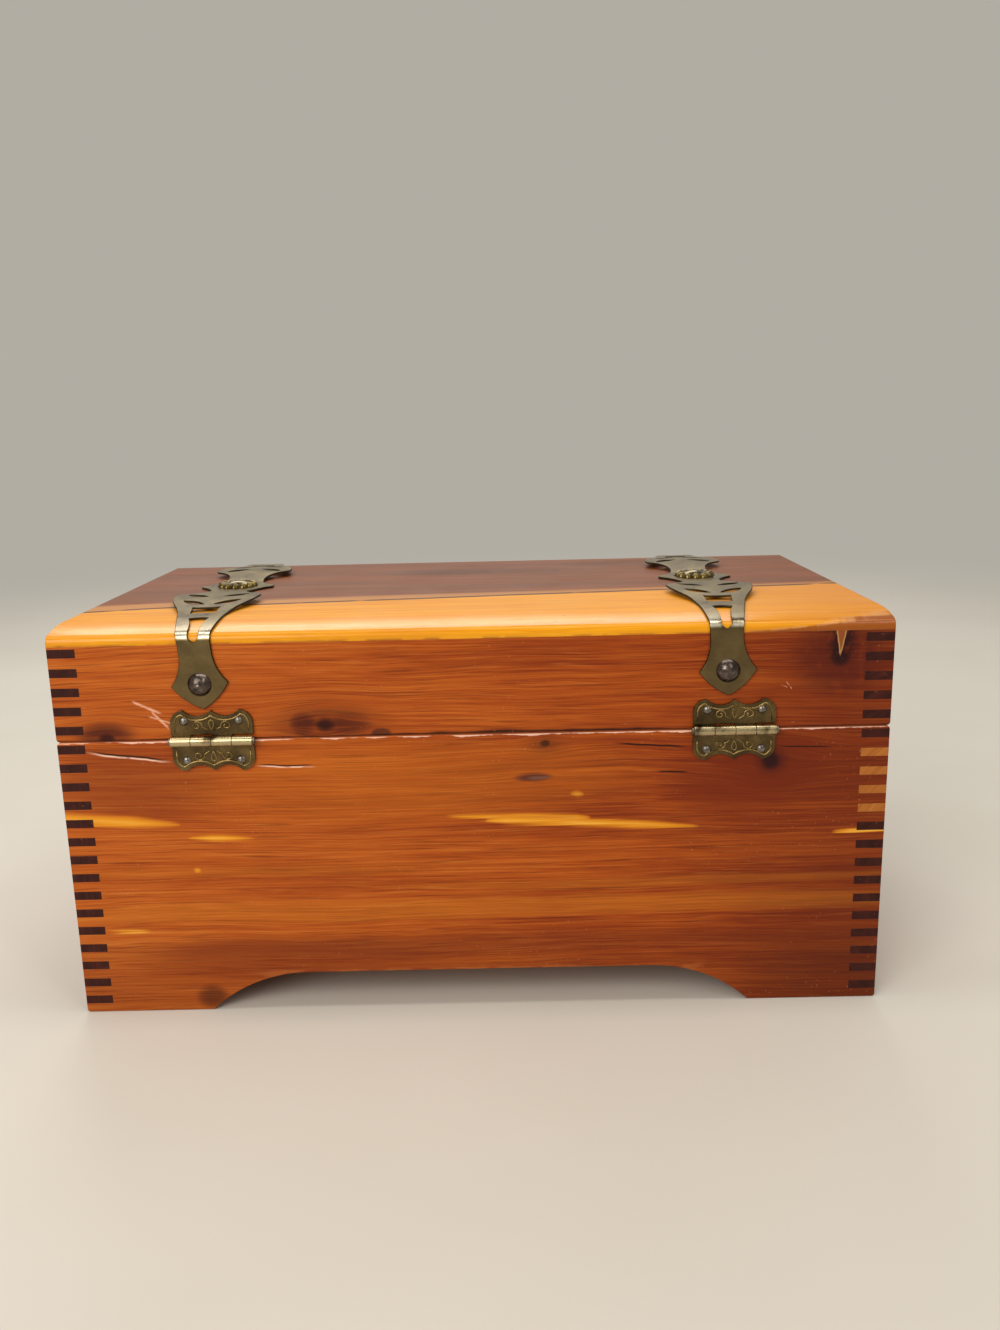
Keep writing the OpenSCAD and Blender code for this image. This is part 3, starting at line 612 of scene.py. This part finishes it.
def top_wood():
    wood = Cedar("cedar_top", "x", "y", "z", 23.3)
    wood.knot(-30, -28, 4.0)
    wood.grain(warm=-0.06, bands=0.8)
    fade_top(wood)
    past = past_seam(wood)
    pale_side = wood.step(past, 0.2, 2.0)
    pale_top(wood, past, pale_side)
    outside = wood.step(wood.nz, -0.5, -0.2)
    torn_wedge(wood, pale_side * outside)
    # The seam itself is a broken dark line
    broken = wood.step(wood.noise(wood.x / 16, 9.0, 1.0), 0.3, 0.45)
    mark = wood.step(wood.size(past), 1.5, 0.8) * broken
    wood.paint(mark * 0.9, "2a120a")
    wood.relief = wood.relief - mark * 2.0
    dots = wood.step(wood.noise(wood.x / 2.2, wood.y / 2.8, wood.z / 1.2), 0.74, 0.78)
    wood.paint(pale_side * dots * 0.65, "8a4c17")
    # Dirt gathers on the lower edge, above the joint
    dirt = wood.step(wood.noise(wood.x / 8, wood.y / 8, 3.0), 0.42, 0.6)
    edge = wood.step(wood.z, JOINT + 0.9, JOINT + 0.2) * dirt
    wood.paint(edge * outside * 0.5, "8a4519")
    wood.end_grain(pale_side * 0.5 + 0.35)
    # Dust dulls the flat of the top, while the rolled edge stays glossy
    dust = wood.step(wood.nz, 0.97, 0.998)
    return wood.varnish(rough=dust * 0.36 + 0.18, coat=0.1, gloss_level=0.19)


def panel_wood():
    wood = Cedar("cedar_bottom", "x", "y", "z", 41.9)
    wood.knot(55, 12, 4.0)
    wood.knot(-70, -30, 3.0)
    wood.grain(warm=0.1)
    wood.paint(0.35, "b9774a")
    wood.streak((60, 42), (-95, 37), 4.5, (0.3, 0.3), 0.8)
    wood.end_grain()
    return wood.varnish(rough=0.6, coat=0.0)


# Metal

def old_brass(name, bright, mid, dark, seed, rough=0.36, grime=0.5, dents=0.5, rubbed=None, bare_highlight="cdbb92",
              dull=None):
    """Brass with a brown patina, blotches, scratches and soft dents.

    rubbed(metal) says where it is bare and bright, worn metal painted bright also as its highlight, and
    dull(metal) where it is greyer, partly tarnish and partly a painted darker reflection.
    """
    metal = Shader(name)
    x, y, z = metal.x, metal.y, metal.z
    blotch = metal.noise(x / 7 + seed, y / 7, z / 7, detail=4.0, rough=0.6)
    fine = metal.noise(x / 1.1 + seed, y / 1.1, z / 1.1, detail=3.0, rough=0.6)
    scratch = metal.noise(x / 0.35 + seed, y / 9, z / 9)
    stops = [(0.15, dark), (0.5, mid), (0.85, bright)]
    color = metal.ramp((blotch - 0.5) * 1.1 + (fine - 0.5) * 0.35 + 0.5, stops)
    color = metal.mix(metal.step(fine, 0.6, 0.74) * grime, color, srgb(dark))
    gloss = (blotch - 0.5) * 0.3 + (fine - 0.5) * 0.2 + (scratch - 0.5) * 0.1 + rough
    if dull is not None:
        # Greyer hanging ends: partly tarnish, partly a painted darker reflection
        color = metal.mix(dull(metal) * 0.5, color, srgb("66563f"))
    if rubbed is not None:
        # Bare rubbed metal, painted bright also as a highlight
        worn = rubbed(metal) * metal.step(blotch, 0.3, 0.5)
        color = metal.mix(worn * 0.7, color, srgb(bare_highlight))
        gloss = gloss - worn * 0.05
    bump = blotch * dents + fine * 0.25 + scratch * 0.12
    return metal.finish(color, gloss, bump, depth=0.15, strength=0.35, edge=0.15, Metallic=1.0)


def dark_nail(name, bright, mid, dark, seed, rough):
    """A hammered nail head, blotched dark and bright, with flats from the hammer."""
    metal = Shader(name)
    x, y, z = metal.x, metal.y, metal.z
    flats = metal.noise(x / 1.7 + seed, y / 1.7, z / 1.7, detail=1.0)
    fine = metal.noise(x / 0.5 + seed, y / 0.5, z / 0.5, detail=3.0, rough=0.65)
    stops = [(0.15, dark), (0.5, mid), (0.9, bright)]
    color = metal.ramp((flats - 0.5) * 0.8 + (fine - 0.5) * 0.6 + 0.5, stops)
    gloss = (fine - 0.5) * 0.35 + rough
    bump = flats * 0.8 + fine * 0.15
    return metal.finish(color, gloss, bump, depth=0.3, strength=0.35, Metallic=1.0)


def barrel(metal):
    """The hinge's knuckles, which stand proud of the leaves: polished by wear, and painted bright as their
    highlight.
    """
    return metal.step(metal.y, LEAF_FACE + 0.2, LEAF_FACE + 1.0)


def strap_bend(metal):
    """Where a strap goes over the lid's edge: rubbed bare there, and painted bright as the highlight on the
    bend.
    """
    lean = metal.size(metal.ny)
    edge = metal.step(metal.size(metal.y), HALF_D - 10.0, HALF_D - 2.0)
    return metal.step(lean, 0.12, 0.42) * (1.0 - metal.step(lean, 0.9, 0.99)) * edge


def strap_end(metal):
    """The hanging ends of a strap, which are greyer: partly tarnish, partly a painted darker reflection."""
    beyond = metal.step(metal.size(metal.y), HALF_D - 1.0, HALF_D)
    return metal.step(metal.size(metal.ny), 0.85, 0.99) * beyond


def dress():
    """Gives every solid its material."""
    strap = old_brass(
        "strap_brass", "8c7a4e", "705f39", "47392a", 2.0, rough=0.34, grime=0.3, dents=0.2,
        rubbed=strap_bend, bare_highlight="e2dac4", dull=strap_end
    )
    hinge = old_brass("hinge_brass", "836d45", "5a4a30", "2c241a", 5.0, rough=0.33, grime=0.6, rubbed=barrel)
    rosette = old_brass("rosette_brass", "9a8448", "6a5a33", "3d321d", 8.0, rough=0.22, grime=0.2, dents=0.1)
    catch = old_brass("catch_brass", "b79a56", "94793f", "57441f", 13.0, rough=0.3)
    strap_nail = dark_nail("strap_nail_metal", "877b71", "594e48", "2b2422", 1.0, rough=0.24)
    hinge_nail = dark_nail("hinge_nail_steel", "a39c90", "77706a", "403a35", 4.0, rough=0.3)
    pin = dark_nail("pin_steel", "a59c88", "787060", "40392e", 7.0, rough=0.4)
    looks = {
        "box_back": box_back_wood(),
        "box_front": front_wood("cedar_box_front", 5.4),
        "box_left_end": end_wood("cedar_box_left_end", 14.2, (62.0, 85.0)),
        "box_right_end": end_wood("cedar_box_right_end", 31.6),
        "box_bottom": panel_wood(),
        "lid_top": top_wood(),
        "lid_back": lid_back_wood(),
        "lid_front": front_wood("cedar_lid_front", 8.8),
        "lid_left_end": end_wood("cedar_lid_left_end", 17.1),
        "lid_right_end": end_wood("cedar_lid_right_end", 33.3),
        "catch_hook": catch, "catch_pivot": catch, "catch_stud": catch,
    }
    for side in ("left", "right"):
        looks[side + "_strap"] = strap
        looks[side + "_rosette"] = rosette
        looks[side + "_strap_nails"] = strap_nail
        looks[side + "_hinge_pin"] = pin
        for half in ("box", "lid"):
            looks[side + "_hinge_" + half + "_leaf"] = hinge
            looks[side + "_hinge_" + half + "_nails"] = hinge_nail
    for name, material in looks.items():
        nodes[name].data.materials.clear()
        nodes[name].data.materials.append(material)
    return looks


looks = dress()


# Shared by the relief, the straps and the stage

def add_object(name, data):
    item = bpy.data.objects.new(name, data)
    bpy.context.scene.collection.objects.link(item)
    return item


def new_piece(name, form, materials, sharp=()):
    """Turns a form into a smooth object in the scene; sharp lists its edges that aren't smooth."""
    bmesh.ops.recalc_face_normals(form, faces=form.faces)
    for face in form.faces:
        face.smooth = True
    for edge in sharp:
        edge.smooth = False
    mesh = bpy.data.meshes.new(name)
    form.to_mesh(mesh)
    form.free()
    for material in materials:
        mesh.materials.append(material)
    return add_object(name, mesh)


def arc(middle, r, first, last, count):
    """Points of an arc, with its angles in degrees."""
    turns = [math.radians(first + (last - first) * i / (count - 1)) for i in range(count)]
    return [(middle[0] + r * math.cos(t), middle[1] + r * math.sin(t)) for t in turns]


# Stamped relief on the hinge leaves: u runs along the pin from the leaf's middle, w away from the pin

BORDER_FROM = 2.7
EAR, EAR_R, EAR_TURN = (8.5, 5.5), 2.75, 80.4
DIP, DIP_R, DIP_TURNS = (4.25, 13.617), 7.167, (-49.0, -126.37)
STEM = [(0.7, 3.1), (1.5, 3.5), (2.4, 4.1)]
CURL, CURL_R, CURL_TURNS = (4.45, 4.75), (1.55, 0.35), (200.0, -270.0)
CURL_STRETCH, CURL_POINTS = 1.1, 26
DROP, DROP_HALF, DROP_POINTS = (0.0, 5.0), (0.95, 1.5), 16
BORDER_BEAD, SCROLL_BEAD, DROP_BEAD = 0.34, 0.27, 0.25
BEAD_PROFILE = ((-1.0, -0.25), (-0.8, 0.5), (-0.35, 0.92), (0.35, 0.92), (0.8, 0.5), (1.0, -0.25))
BEAD_TIP = 0.35


def border_path():
    """The raised line that follows a leaf's scalloped edge, from one side of the barrel to the other."""
    half = [(EAR[0] + EAR_R, BORDER_FROM)]
    half += arc(EAR, EAR_R, 0, EAR_TURN, count=9) + arc(DIP, DIP_R, *DIP_TURNS, count=15)[1:]
    return half + [(-u, w) for u, w in reversed(half[:-1])]


def scroll_path(side):
    """A scroll that leaves the middle of the leaf and curls in on itself."""
    path = list(STEM)
    for i in range(CURL_POINTS):
        share = i / (CURL_POINTS - 1)
        angle = math.radians(CURL_TURNS[0] + (CURL_TURNS[1] - CURL_TURNS[0]) * share)
        r = CURL_R[0] + (CURL_R[1] - CURL_R[0]) * share
        path.append((CURL[0] + r * math.cos(angle) * CURL_STRETCH, CURL[1] + r * math.sin(angle)))
    return [(side * u, w) for u, w in path]


def drop_path():
    """A small closed leaf shape between the scrolls."""
    points = []
    for i in range(DROP_POINTS):
        t = 2 * math.pi * i / DROP_POINTS
        narrow = abs(math.sin(t / 2))
        points.append((DROP[0] + DROP_HALF[0] * math.sin(t) * narrow, DROP[1] - DROP_HALF[1] * math.cos(t)))
    return points


def add_bead(form, path, place, r, closed=False):
    """Sweeps a low half-round bead along a path on a leaf's face; an open one thins out at its ends."""
    count = len(path)
    rows = []
    for i, (u, w) in enumerate(path):
        before = path[i - 1] if i or closed else path[0]
        after = path[(i + 1) % count] if i < count - 1 or closed else path[-1]
        along = Vector((after[0] - before[0], after[1] - before[1])).normalized()
        across = Vector((-along.y, along.x))
        from_end = min(i, count - 1 - i)
        half = r if closed else r * min(1.0, BEAD_TIP * (1 + from_end))
        row = []
        for side, lift in BEAD_PROFILE:
            point = Vector((u, w)) + across * (side * half)
            row.append(form.verts.new(place(point.x, point.y, lift * half)))
        rows.append(row)
    links = list(zip(rows, rows[1:] + rows[:1])) if closed else list(zip(rows, rows[1:]))
    for one, two in links:
        for k in range(len(one)):
            j = (k + 1) % len(one)
            form.faces.new((one[k], one[j], two[j], two[k]))
    if not closed:
        form.faces.new(rows[0])
        form.faces.new(list(reversed(rows[-1])))


def hinge_relief(name, x0, up, material, body):
    """The raised border and scrolls of one leaf; up is 1 on the lid and -1 on the box."""
    def place(u, w, lift):
        return ((x0 + u) * MM, (LEAF_FACE + lift) * MM, (RIM + up * w) * MM)

    form = bmesh.new()
    add_bead(form, border_path(), place, BORDER_BEAD)
    for side in (1, -1):
        add_bead(form, scroll_path(side), place, SCROLL_BEAD)
    add_bead(form, drop_path(), place, DROP_BEAD, closed=True)
    piece = new_piece(name, form, [material])
    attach(piece, body)


gilt = old_brass("hinge_relief_brass", "b89f68", "8c7548", "4e4128", 21.0, rough=0.28, grime=0.4)
for side, x0 in HINGE_X.items():
    hinge_relief(side + "_hinge_lid_relief", x0, 1, gilt, "lid")
    hinge_relief(side + "_hinge_box_relief", x0, -1, gilt, "box")


# Straps: one pierced sheet each, bent over the lid, with hollow flares and leaf-shaped slits

# The top board's section: flat to SWEEP_Y, then a wide sweep and the nose
NOSE_Z, NOSE_R = JOINT + 1.0, 2.4
SWEEP_Y, SWEEP_R, SWEEP_TURN = 57.0, 60.836, math.radians(15.478)
# The sheet's thickness, how far its face stands off the wood, its worn edge and its bow off the flat
STRAP_T, STRAP_SKIN, STRAP_CHAMFER = 0.6, 0.85, 0.15
BOW_START, BOW_H, BOW_SHAPE = 8.3, 1.6, 1.3
FLAT_STEPS, SWEEP_STEPS, NOSE_STEPS, HANG_STEPS = 115, 35, 24, 60
HANG_STEP = 0.5
# The flat sheet's points and openings, with u across it and v along it from the rosette at its middle
NAIL_V, NAIL_HOLE_R, ROSETTE_HOLE_R = 91.18, 1.0, 0.9
TIP, SHOULDER, NECK = (0.0, 98.8), (8.7, NAIL_V), (5.0, 81.5)
COLLAR, COLLAR_POINT = (12.8, 1.3), (13.0, 0.0)
TAIL_SIDE = [(3.0, 63.6), (2.15, 67.0), (1.75, 70.5), (1.6, 74.0), (1.6, 76.6)]
SLOT_SIDE = [(4.4, 49.0), (3.9, 56.4)]
LEAF_SLITS = (((1.5, 45.6), (9.3, 39.2)), ((2.3, 34.0), (10.4, 27.8)))
# Steps along edges and of the points inside, which are closer where the sheet bends over the nose
EDGE_STEP, LINE_STEP, RING_POINTS = 0.45, 1.0, 16
GRID_V, NOSE_GRID_V, GRID_U, NOSE_GRID_U = 1.3, 0.4, 1.0, 0.9
GRID_END, GRID_COLUMNS, GRID_CLEAR = 98.0, 14, 0.5
NOSE_FROM, NOSE_TO = 72.0, 80.0


def bowed(a, b, sag):
    """Points from a to just before b along a line that bows to its left by sag."""
    a, b = Vector(a), Vector(b)
    along = b - a
    left = Vector((-along.y, along.x)).normalized()
    count = max(2, math.ceil((along.length + abs(sag)) / EDGE_STEP))
    shares = [i / count for i in range(count)]
    return [tuple(a + along * q + left * (4 * sag * q * (1 - q))) for q in shares]


def spline(knots, step=EDGE_STEP):
    """Points from the first knot to just before the last along a smooth curve through them all."""
    rows = [Vector(knot) for knot in knots]
    rows = [2 * rows[0] - rows[1]] + rows + [2 * rows[-1] - rows[-2]]
    points = []
    for p, a, b, n in zip(rows, rows[1:], rows[2:], rows[3:]):
        count = max(1, math.ceil((b - a).length / step))
        for i in range(count):
            q = i / count
            points.append(tuple(
                a + (b - p) * (q / 2) + (2 * p - 5 * a + 4 * b - n) * (q * q / 2)
                + (3 * a - p - 3 * b + n) * (q ** 3 / 2)))
    return points


def look_up(rows, key):
    """The columns of a table of rows, sorted by the first, at a value of it."""
    i = min(max(bisect.bisect([row[0] for row in rows], key), 1), len(rows) - 1)
    low, high = rows[i - 1], rows[i]
    share = (key - low[0]) / (high[0] - low[0])
    return [a + (b - a) * share for a, b in zip(low[1:], high[1:])]


def strap_section():
    """The strap's face in section: length from the lid's middle, y, z and the way it faces."""
    line = []
    for i in range(FLAT_STEPS):
        y = SWEEP_Y * i / FLAT_STEPS
        share = max(0.0, (y - BOW_START) / (SWEEP_Y - BOW_START))
        line.append(Vector((y, LID_TOP + STRAP_SKIN + BOW_H * math.sin(math.pi * share) ** BOW_SHAPE)))
    for i in range(SWEEP_STEPS):
        turn, r = SWEEP_TURN * i / SWEEP_STEPS, SWEEP_R + STRAP_SKIN
        line.append(Vector((SWEEP_Y + r * math.sin(turn), LID_TOP - SWEEP_R + r * math.cos(turn))))
    for i in range(NOSE_STEPS):
        turn = SWEEP_TURN + (math.pi / 2 - SWEEP_TURN) * i / NOSE_STEPS
        r = NOSE_R + STRAP_SKIN
        line.append(Vector((HALF_D - NOSE_R + r * math.sin(turn), NOSE_Z + r * math.cos(turn))))
    line += [Vector((HALF_D + STRAP_SKIN, NOSE_Z - HANG_STEP * i)) for i in range(HANG_STEPS)]
    rows, length = [], 0.0
    for i, point in enumerate(line):
        before, after = line[max(i - 1, 0)], line[min(i + 1, len(line) - 1)]
        length += (point - before).length
        along = (after - before).normalized()
        rows.append((length, point.x, point.y, -along.y, along.x))
    return rows


def flip(loop):
    """A loop's mirror image on the other side of the strap's middle line."""
    return [(-u, v) for u, v in loop]


def ring(u0, v0, r):
    return arc((u0, v0), r, 0, 360 - 360 / RING_POINTS, RING_POINTS)


def strap_outline():
    """The strap's edge laid flat: a quarter of it from tip to collar, mirrored both ways."""
    half = bowed(TIP, SHOULDER, sag=0.9) + bowed(SHOULDER, NECK, sag=-0.95)
    half += spline([
        NECK, (5.1, 77.5), (5.75, 71.5), (6.6, 65.0), (7.35, 59.5), (8.15, 54.5), (9.2, 50.3), (10.4, 46.8),
        (11.6, 43.6), (12.8, 40.0), (13.6, 36.5), (14.15, 33.0), (14.3, 30.5), (13.9, 28.4), (12.7, 27.2),
        (10.4, 25.2), (8.2, 21.8), (7.0, 17.5), (6.8, 13.0), (7.8, 8.4), (10.0, 4.4), COLLAR
    ])
    half += bowed(COLLAR, COLLAR_POINT, sag=0.1)
    right = half + [COLLAR_POINT] + [(u, -v) for u, v in reversed(half)]
    return right + flip(reversed(right[1:-1]))


def strap_holes():
    """The openings: forked tail, cross slot and leaf slits at both ends, and the nails' holes."""
    other = flip(reversed(TAIL_SIDE))
    tail = spline(TAIL_SIDE) + bowed(TAIL_SIDE[-1], other[0], sag=-1.6)
    tail += spline(other) + bowed(other[-1], TAIL_SIDE[0], sag=-0.7)
    a, b = SLOT_SIDE
    c, d = flip(reversed(SLOT_SIDE))
    slot = bowed(a, b, sag=0.1) + bowed(b, c, sag=0.3) + bowed(c, d, sag=0.1) + bowed(d, a, sag=0.5)
    loops = [tail, slot, ring(0.0, NAIL_V, NAIL_HOLE_R)]
    for stem, point in LEAF_SLITS:
        leaf = bowed(stem, point, sag=2.1) + bowed(point, stem, sag=1.3)
        loops += [leaf, flip(leaf)]
    return loops + [[(u, -v) for u, v in loop] for loop in loops] + [ring(0.0, 0.0, ROSETTE_HOLE_R)]


def sheet_grid(rim):
    """Points over the whole sheet that keep clear of its edges."""
    tree = kdtree.KDTree(len(rim))
    for i, (u, v) in enumerate(rim):
        tree.insert((u, v, 0.0), i)
    tree.balance()
    inner, v = [], -GRID_END
    while v < GRID_END:
        near_nose = NOSE_FROM < abs(v) < NOSE_TO
        for k in range(-GRID_COLUMNS, GRID_COLUMNS + 1):
            u = k * (NOSE_GRID_U if near_nose else GRID_U)
            if tree.find((u, v, 0.0))[2] > GRID_CLEAR:
                inner.append((u, v))
        v += NOSE_GRID_V if near_nose else GRID_V
    return inner


def cut_sheet():
    """The flat strap as triangles between its outline and its openings."""
    rim, sides = [], []
    for loop in [strap_outline()] + strap_holes():
        first = len(rim)
        rim += loop
        sides += [(first + i, first + (i + 1) % len(loop)) for i in range(len(loop))]
    spread = [Vector(point) for point in rim + sheet_grid(rim)]
    points, _, faces = geometry.delaunay_2d_cdt(spread, sides, [], 0, 1e-6)[:3]
    # A triangle is kept where a line from its middle crosses the edges an odd number of times
    middles = numpy.array([sum((points[i] for i in face), Vector((0.0, 0.0))) / 3 for face in faces])
    inside = numpy.zeros(len(faces), bool)
    for a, b in sides:
        (ua, va), (ub, vb) = rim[a], rim[b]
        if va != vb:
            crosses = (middles[:, 1] < va) != (middles[:, 1] < vb)
            inside ^= crosses & (middles[:, 0] < ua + (middles[:, 1] - va) * (ub - ua) / (vb - va))
    return points, [face for face, kept in zip(faces, inside) if kept]


def strap_place(x0, slip, line):
    """Says where a point of the flat sheet comes to lie, along a line of (v, x) knots over the lid."""
    section = strap_section()
    line = spline(line, LINE_STEP) + [line[-1]]

    def place(point, lift):
        u, v = point
        far = abs(v)
        way = 1 if v >= 0 else -1
        x = look_up(line, far)[0]
        # The line's slope over one millimetre
        lean = math.atan(look_up(line, far + 0.5)[0] - look_up(line, far - 0.5)[0])
        along = v + slip - u * math.sin(lean)
        side = 1 if along >= 0 else -1
        y, z, face_y, face_z = look_up(section, abs(along))
        sunk = lift - STRAP_T
        return Vector((
            x0 + way * x + u * math.cos(lean),
            side * (y + face_y * sunk),
            z + face_z * sunk
        )) * MM

    return place


def worn_inset(before, here, after):
    """How far the chamfer sets a point of the sheet's edge in, between its neighbours on the edge."""
    one, two = [Vector((-way.y, way.x)).normalized() for way in (here - before, after - here)]
    inset = (one + two).normalized()
    sharpest = 0.6
    return inset * (STRAP_CHAMFER / max(sharpest, inset.dot(one)))


def thicken(sheet, place):
    """The bent sheet with its thickness and chamfer, and the edges of it that stay sharp."""
    points, faces = sheet
    sides = dict.fromkeys(side for a, b, c in faces for side in ((a, b), (b, c), (c, a)))
    after = {a: b for a, b in sides if (b, a) not in sides}
    before = {b: a for a, b in after.items()}
    form = bmesh.new()
    low, rim, top = {}, {}, {}
    for i in sorted({i for face in faces for i in face}):
        inset = Vector((0.0, 0.0))
        if i in after:
            inset = worn_inset(points[before[i]], points[i], points[after[i]])
            rim[i] = form.verts.new(place(points[i], STRAP_T - STRAP_CHAMFER))
        low[i] = form.verts.new(place(points[i], 0.0))
        top[i] = form.verts.new(place(points[i] + inset, STRAP_T))
    for a, b, c in faces:
        form.faces.new((top[a], top[b], top[c]))
        form.faces.new((low[c], low[b], low[a]))
    # The walls and chamfer take the second, dark material: painted shade along the sheet's edges and in its
    # openings
    for a, b in after.items():
        form.faces.new((low[a], low[b], rim[b], rim[a])).material_index = 1
        form.faces.new((rim[a], rim[b], top[b], top[a])).material_index = 1
    sharp = [form.edges.get((layer[a], layer[b])) for a, b in after.items() for layer in (low, top)]
    return form, sharp


def bend_strap(name, node, place, sheet, materials):
    """Makes the finer strap that stands for a strap's solid."""
    form, sharp = thicken(sheet, place)
    piece = new_piece(name, form, materials, sharp)
    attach(piece, "lid")
    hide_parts(node)


RIGHT_LINE = [
    (-20.0, 0.25), (0.0, 0.0), (20.0, -0.25), (36.0, -0.75), (48.0, -1.35), (58.0, -2.15), (66.0, -2.95),
    (76.0, -3.68), (NAIL_V, -4.77), (100.0, -5.42)
]
LEFT_LINE = [
    (-20.0, -0.25), (0.0, 0.0), (20.0, 0.25), (36.0, 0.7), (48.0, 1.15), (58.0, 1.85), (66.0, 2.55),
    (75.0, 3.25), (80.0, 3.33), (NAIL_V, 2.757), (100.0, 2.3)
]
RIGHT_X, RIGHT_SLIP = 86.4, 0.0
LEFT_X, LEFT_SLIP = -80.0, -0.8

flat_strap = cut_sheet()
# A dark brass for the walls and chamfer, as painted shade along the edges and in the openings
strap_edge_shade = old_brass("strap_edge_brass", "5a4a30", "3a2f1f", "1d1710", 17.0, rough=0.5)
strap_looks = [looks["right_strap"], strap_edge_shade]
right_place = strap_place(RIGHT_X, RIGHT_SLIP, RIGHT_LINE)
left_place = strap_place(LEFT_X, LEFT_SLIP, LEFT_LINE)
bend_strap("right_strap_sheet", "right_strap", right_place, flat_strap, strap_looks)
bend_strap("left_strap_sheet", "left_strap", left_place, flat_strap, strap_looks)


# Camera, light and floor, in metres

def place_camera():
    """The photograph's own viewpoint, worked out from the box's edges."""
    place = (-0.0104, 0.39438, 0.18473)
    yaw, pitch, roll = 0.0049405, 0.2232898, 0.0227996
    focal_px, frame_h, sensor = 1090.7, 1330.0, 36.0
    forward = Vector((math.sin(yaw) * math.cos(pitch), -math.cos(yaw) * math.cos(pitch), -math.sin(pitch)))
    right = Vector((-math.cos(yaw), -math.sin(yaw), 0.0))
    down = forward.cross(right)
    level = math.cos(roll) * right + math.sin(roll) * down
    drop = math.cos(roll) * down - math.sin(roll) * right
    data = bpy.data.cameras.new("camera")
    data.sensor_fit = "AUTO"
    data.sensor_width = sensor
    data.lens = focal_px / frame_h * sensor
    data.clip_start = 0.01
    data.clip_end = 50.0
    camera = add_object("camera", data)
    turn = Matrix((level, -drop, -forward)).transposed().to_4x4()
    camera.matrix_world = Matrix.Translation(place) @ turn
    bpy.context.scene.camera = camera


# Name, place, target, width and height, power and colour
LAMPS = (
    ("overhead", (0.0, 0.10, 0.98), (0.0, 0.04, 0.1), (1.2, 0.22), 3.7, (1.0, 0.97, 0.92)),
    ("key", (0.5, 0.85, 0.6), (0.0, 0.0, 0.06), (0.6, 0.6), 6.5, (1.0, 0.96, 0.9)),
    ("side", (-0.5, 0.7, 0.75), (-0.06, 0.07, 0.09), (0.14, 0.5), 1.2, (1.0, 0.97, 0.92)),
    ("front", (0.12, -0.85, 0.78), (0.0, 0.0, 0.06), (0.9, 0.3), 3.8, (1.0, 0.98, 0.95)),
)
SURROUND = (0.80, 0.76, 0.67, 1.0)
SURROUND_LEVEL = 0.55
FLOOR_R, FLOOR_SIDES = 6.0, 96
FADE_FROM, FADE_TO = 0.45, 1.3


def area_light(name, place, target, sides, power, color):
    """A lamp that faces its target; sides are its width and height."""
    data = bpy.data.lights.new(name, "AREA")
    data.shape = "RECTANGLE"
    data.size, data.size_y = sides
    data.energy = power
    data.color = color
    lamp = add_object(name, data)
    lamp.location = place
    lamp.rotation_euler = (Vector(target) - Vector(place)).to_track_quat("-Z", "Y").to_euler()


def fade_floor(paint):
    """Lets the far floor take the surround's colour where it is seen, so that no horizon shows."""
    tree = paint.tree
    path = tree.nodes.new("ShaderNodeLightPath")
    kinds = ("Is Camera Ray", "Is Glossy Ray", "Is Transmission Ray")
    direct, mirrored, through = [Num(paint, path.outputs[kind]) for kind in kinds]
    seen = paint.least(direct + mirrored + through, 1.0)
    away = paint.math("SQRT", paint.x * paint.x + paint.y * paint.y)
    glow = tree.nodes.new("ShaderNodeEmission")
    glow.inputs["Color"].default_value = SURROUND
    glow.inputs["Strength"].default_value = SURROUND_LEVEL
    join = tree.nodes.new("ShaderNodeMixShader")
    paint.feed(join.inputs[0], paint.step(away, FADE_FROM / MM, FADE_TO / MM) * seen)
    tree.links.new(paint.bsdf.outputs[0], join.inputs[1])
    tree.links.new(glow.outputs[0], join.inputs[2])
    tree.links.new(join.outputs[0], paint.out.inputs[0])


def set_stage():
    """A wide pale floor and a pale surround."""
    mesh = bpy.data.meshes.new("floor")
    form = bmesh.new()
    bmesh.ops.create_circle(form, cap_ends=True, segments=FLOOR_SIDES, radius=FLOOR_R)
    form.to_mesh(mesh)
    form.free()
    floor = add_object("floor", mesh)
    paint = Shader("floor_paint")
    cloud = paint.noise(paint.x / 160, paint.y / 160, 0.0, detail=3.0)
    mesh.materials.append(paint.finish(paint.ramp(cloud, [(0.3, "cfcac0"), (0.7, "d6d1c8")]), 0.6))
    fade_floor(paint)
    world = bpy.data.worlds.new("surround")
    bpy.context.scene.world = world
    world.use_nodes = True
    back = world.node_tree.nodes["Background"]
    back.inputs[0].default_value = SURROUND
    back.inputs[1].default_value = SURROUND_LEVEL


place_camera()
for lamp in LAMPS:
    area_light(*lamp)
set_stage()
bpy.context.scene.view_settings.view_transform = "Standard"
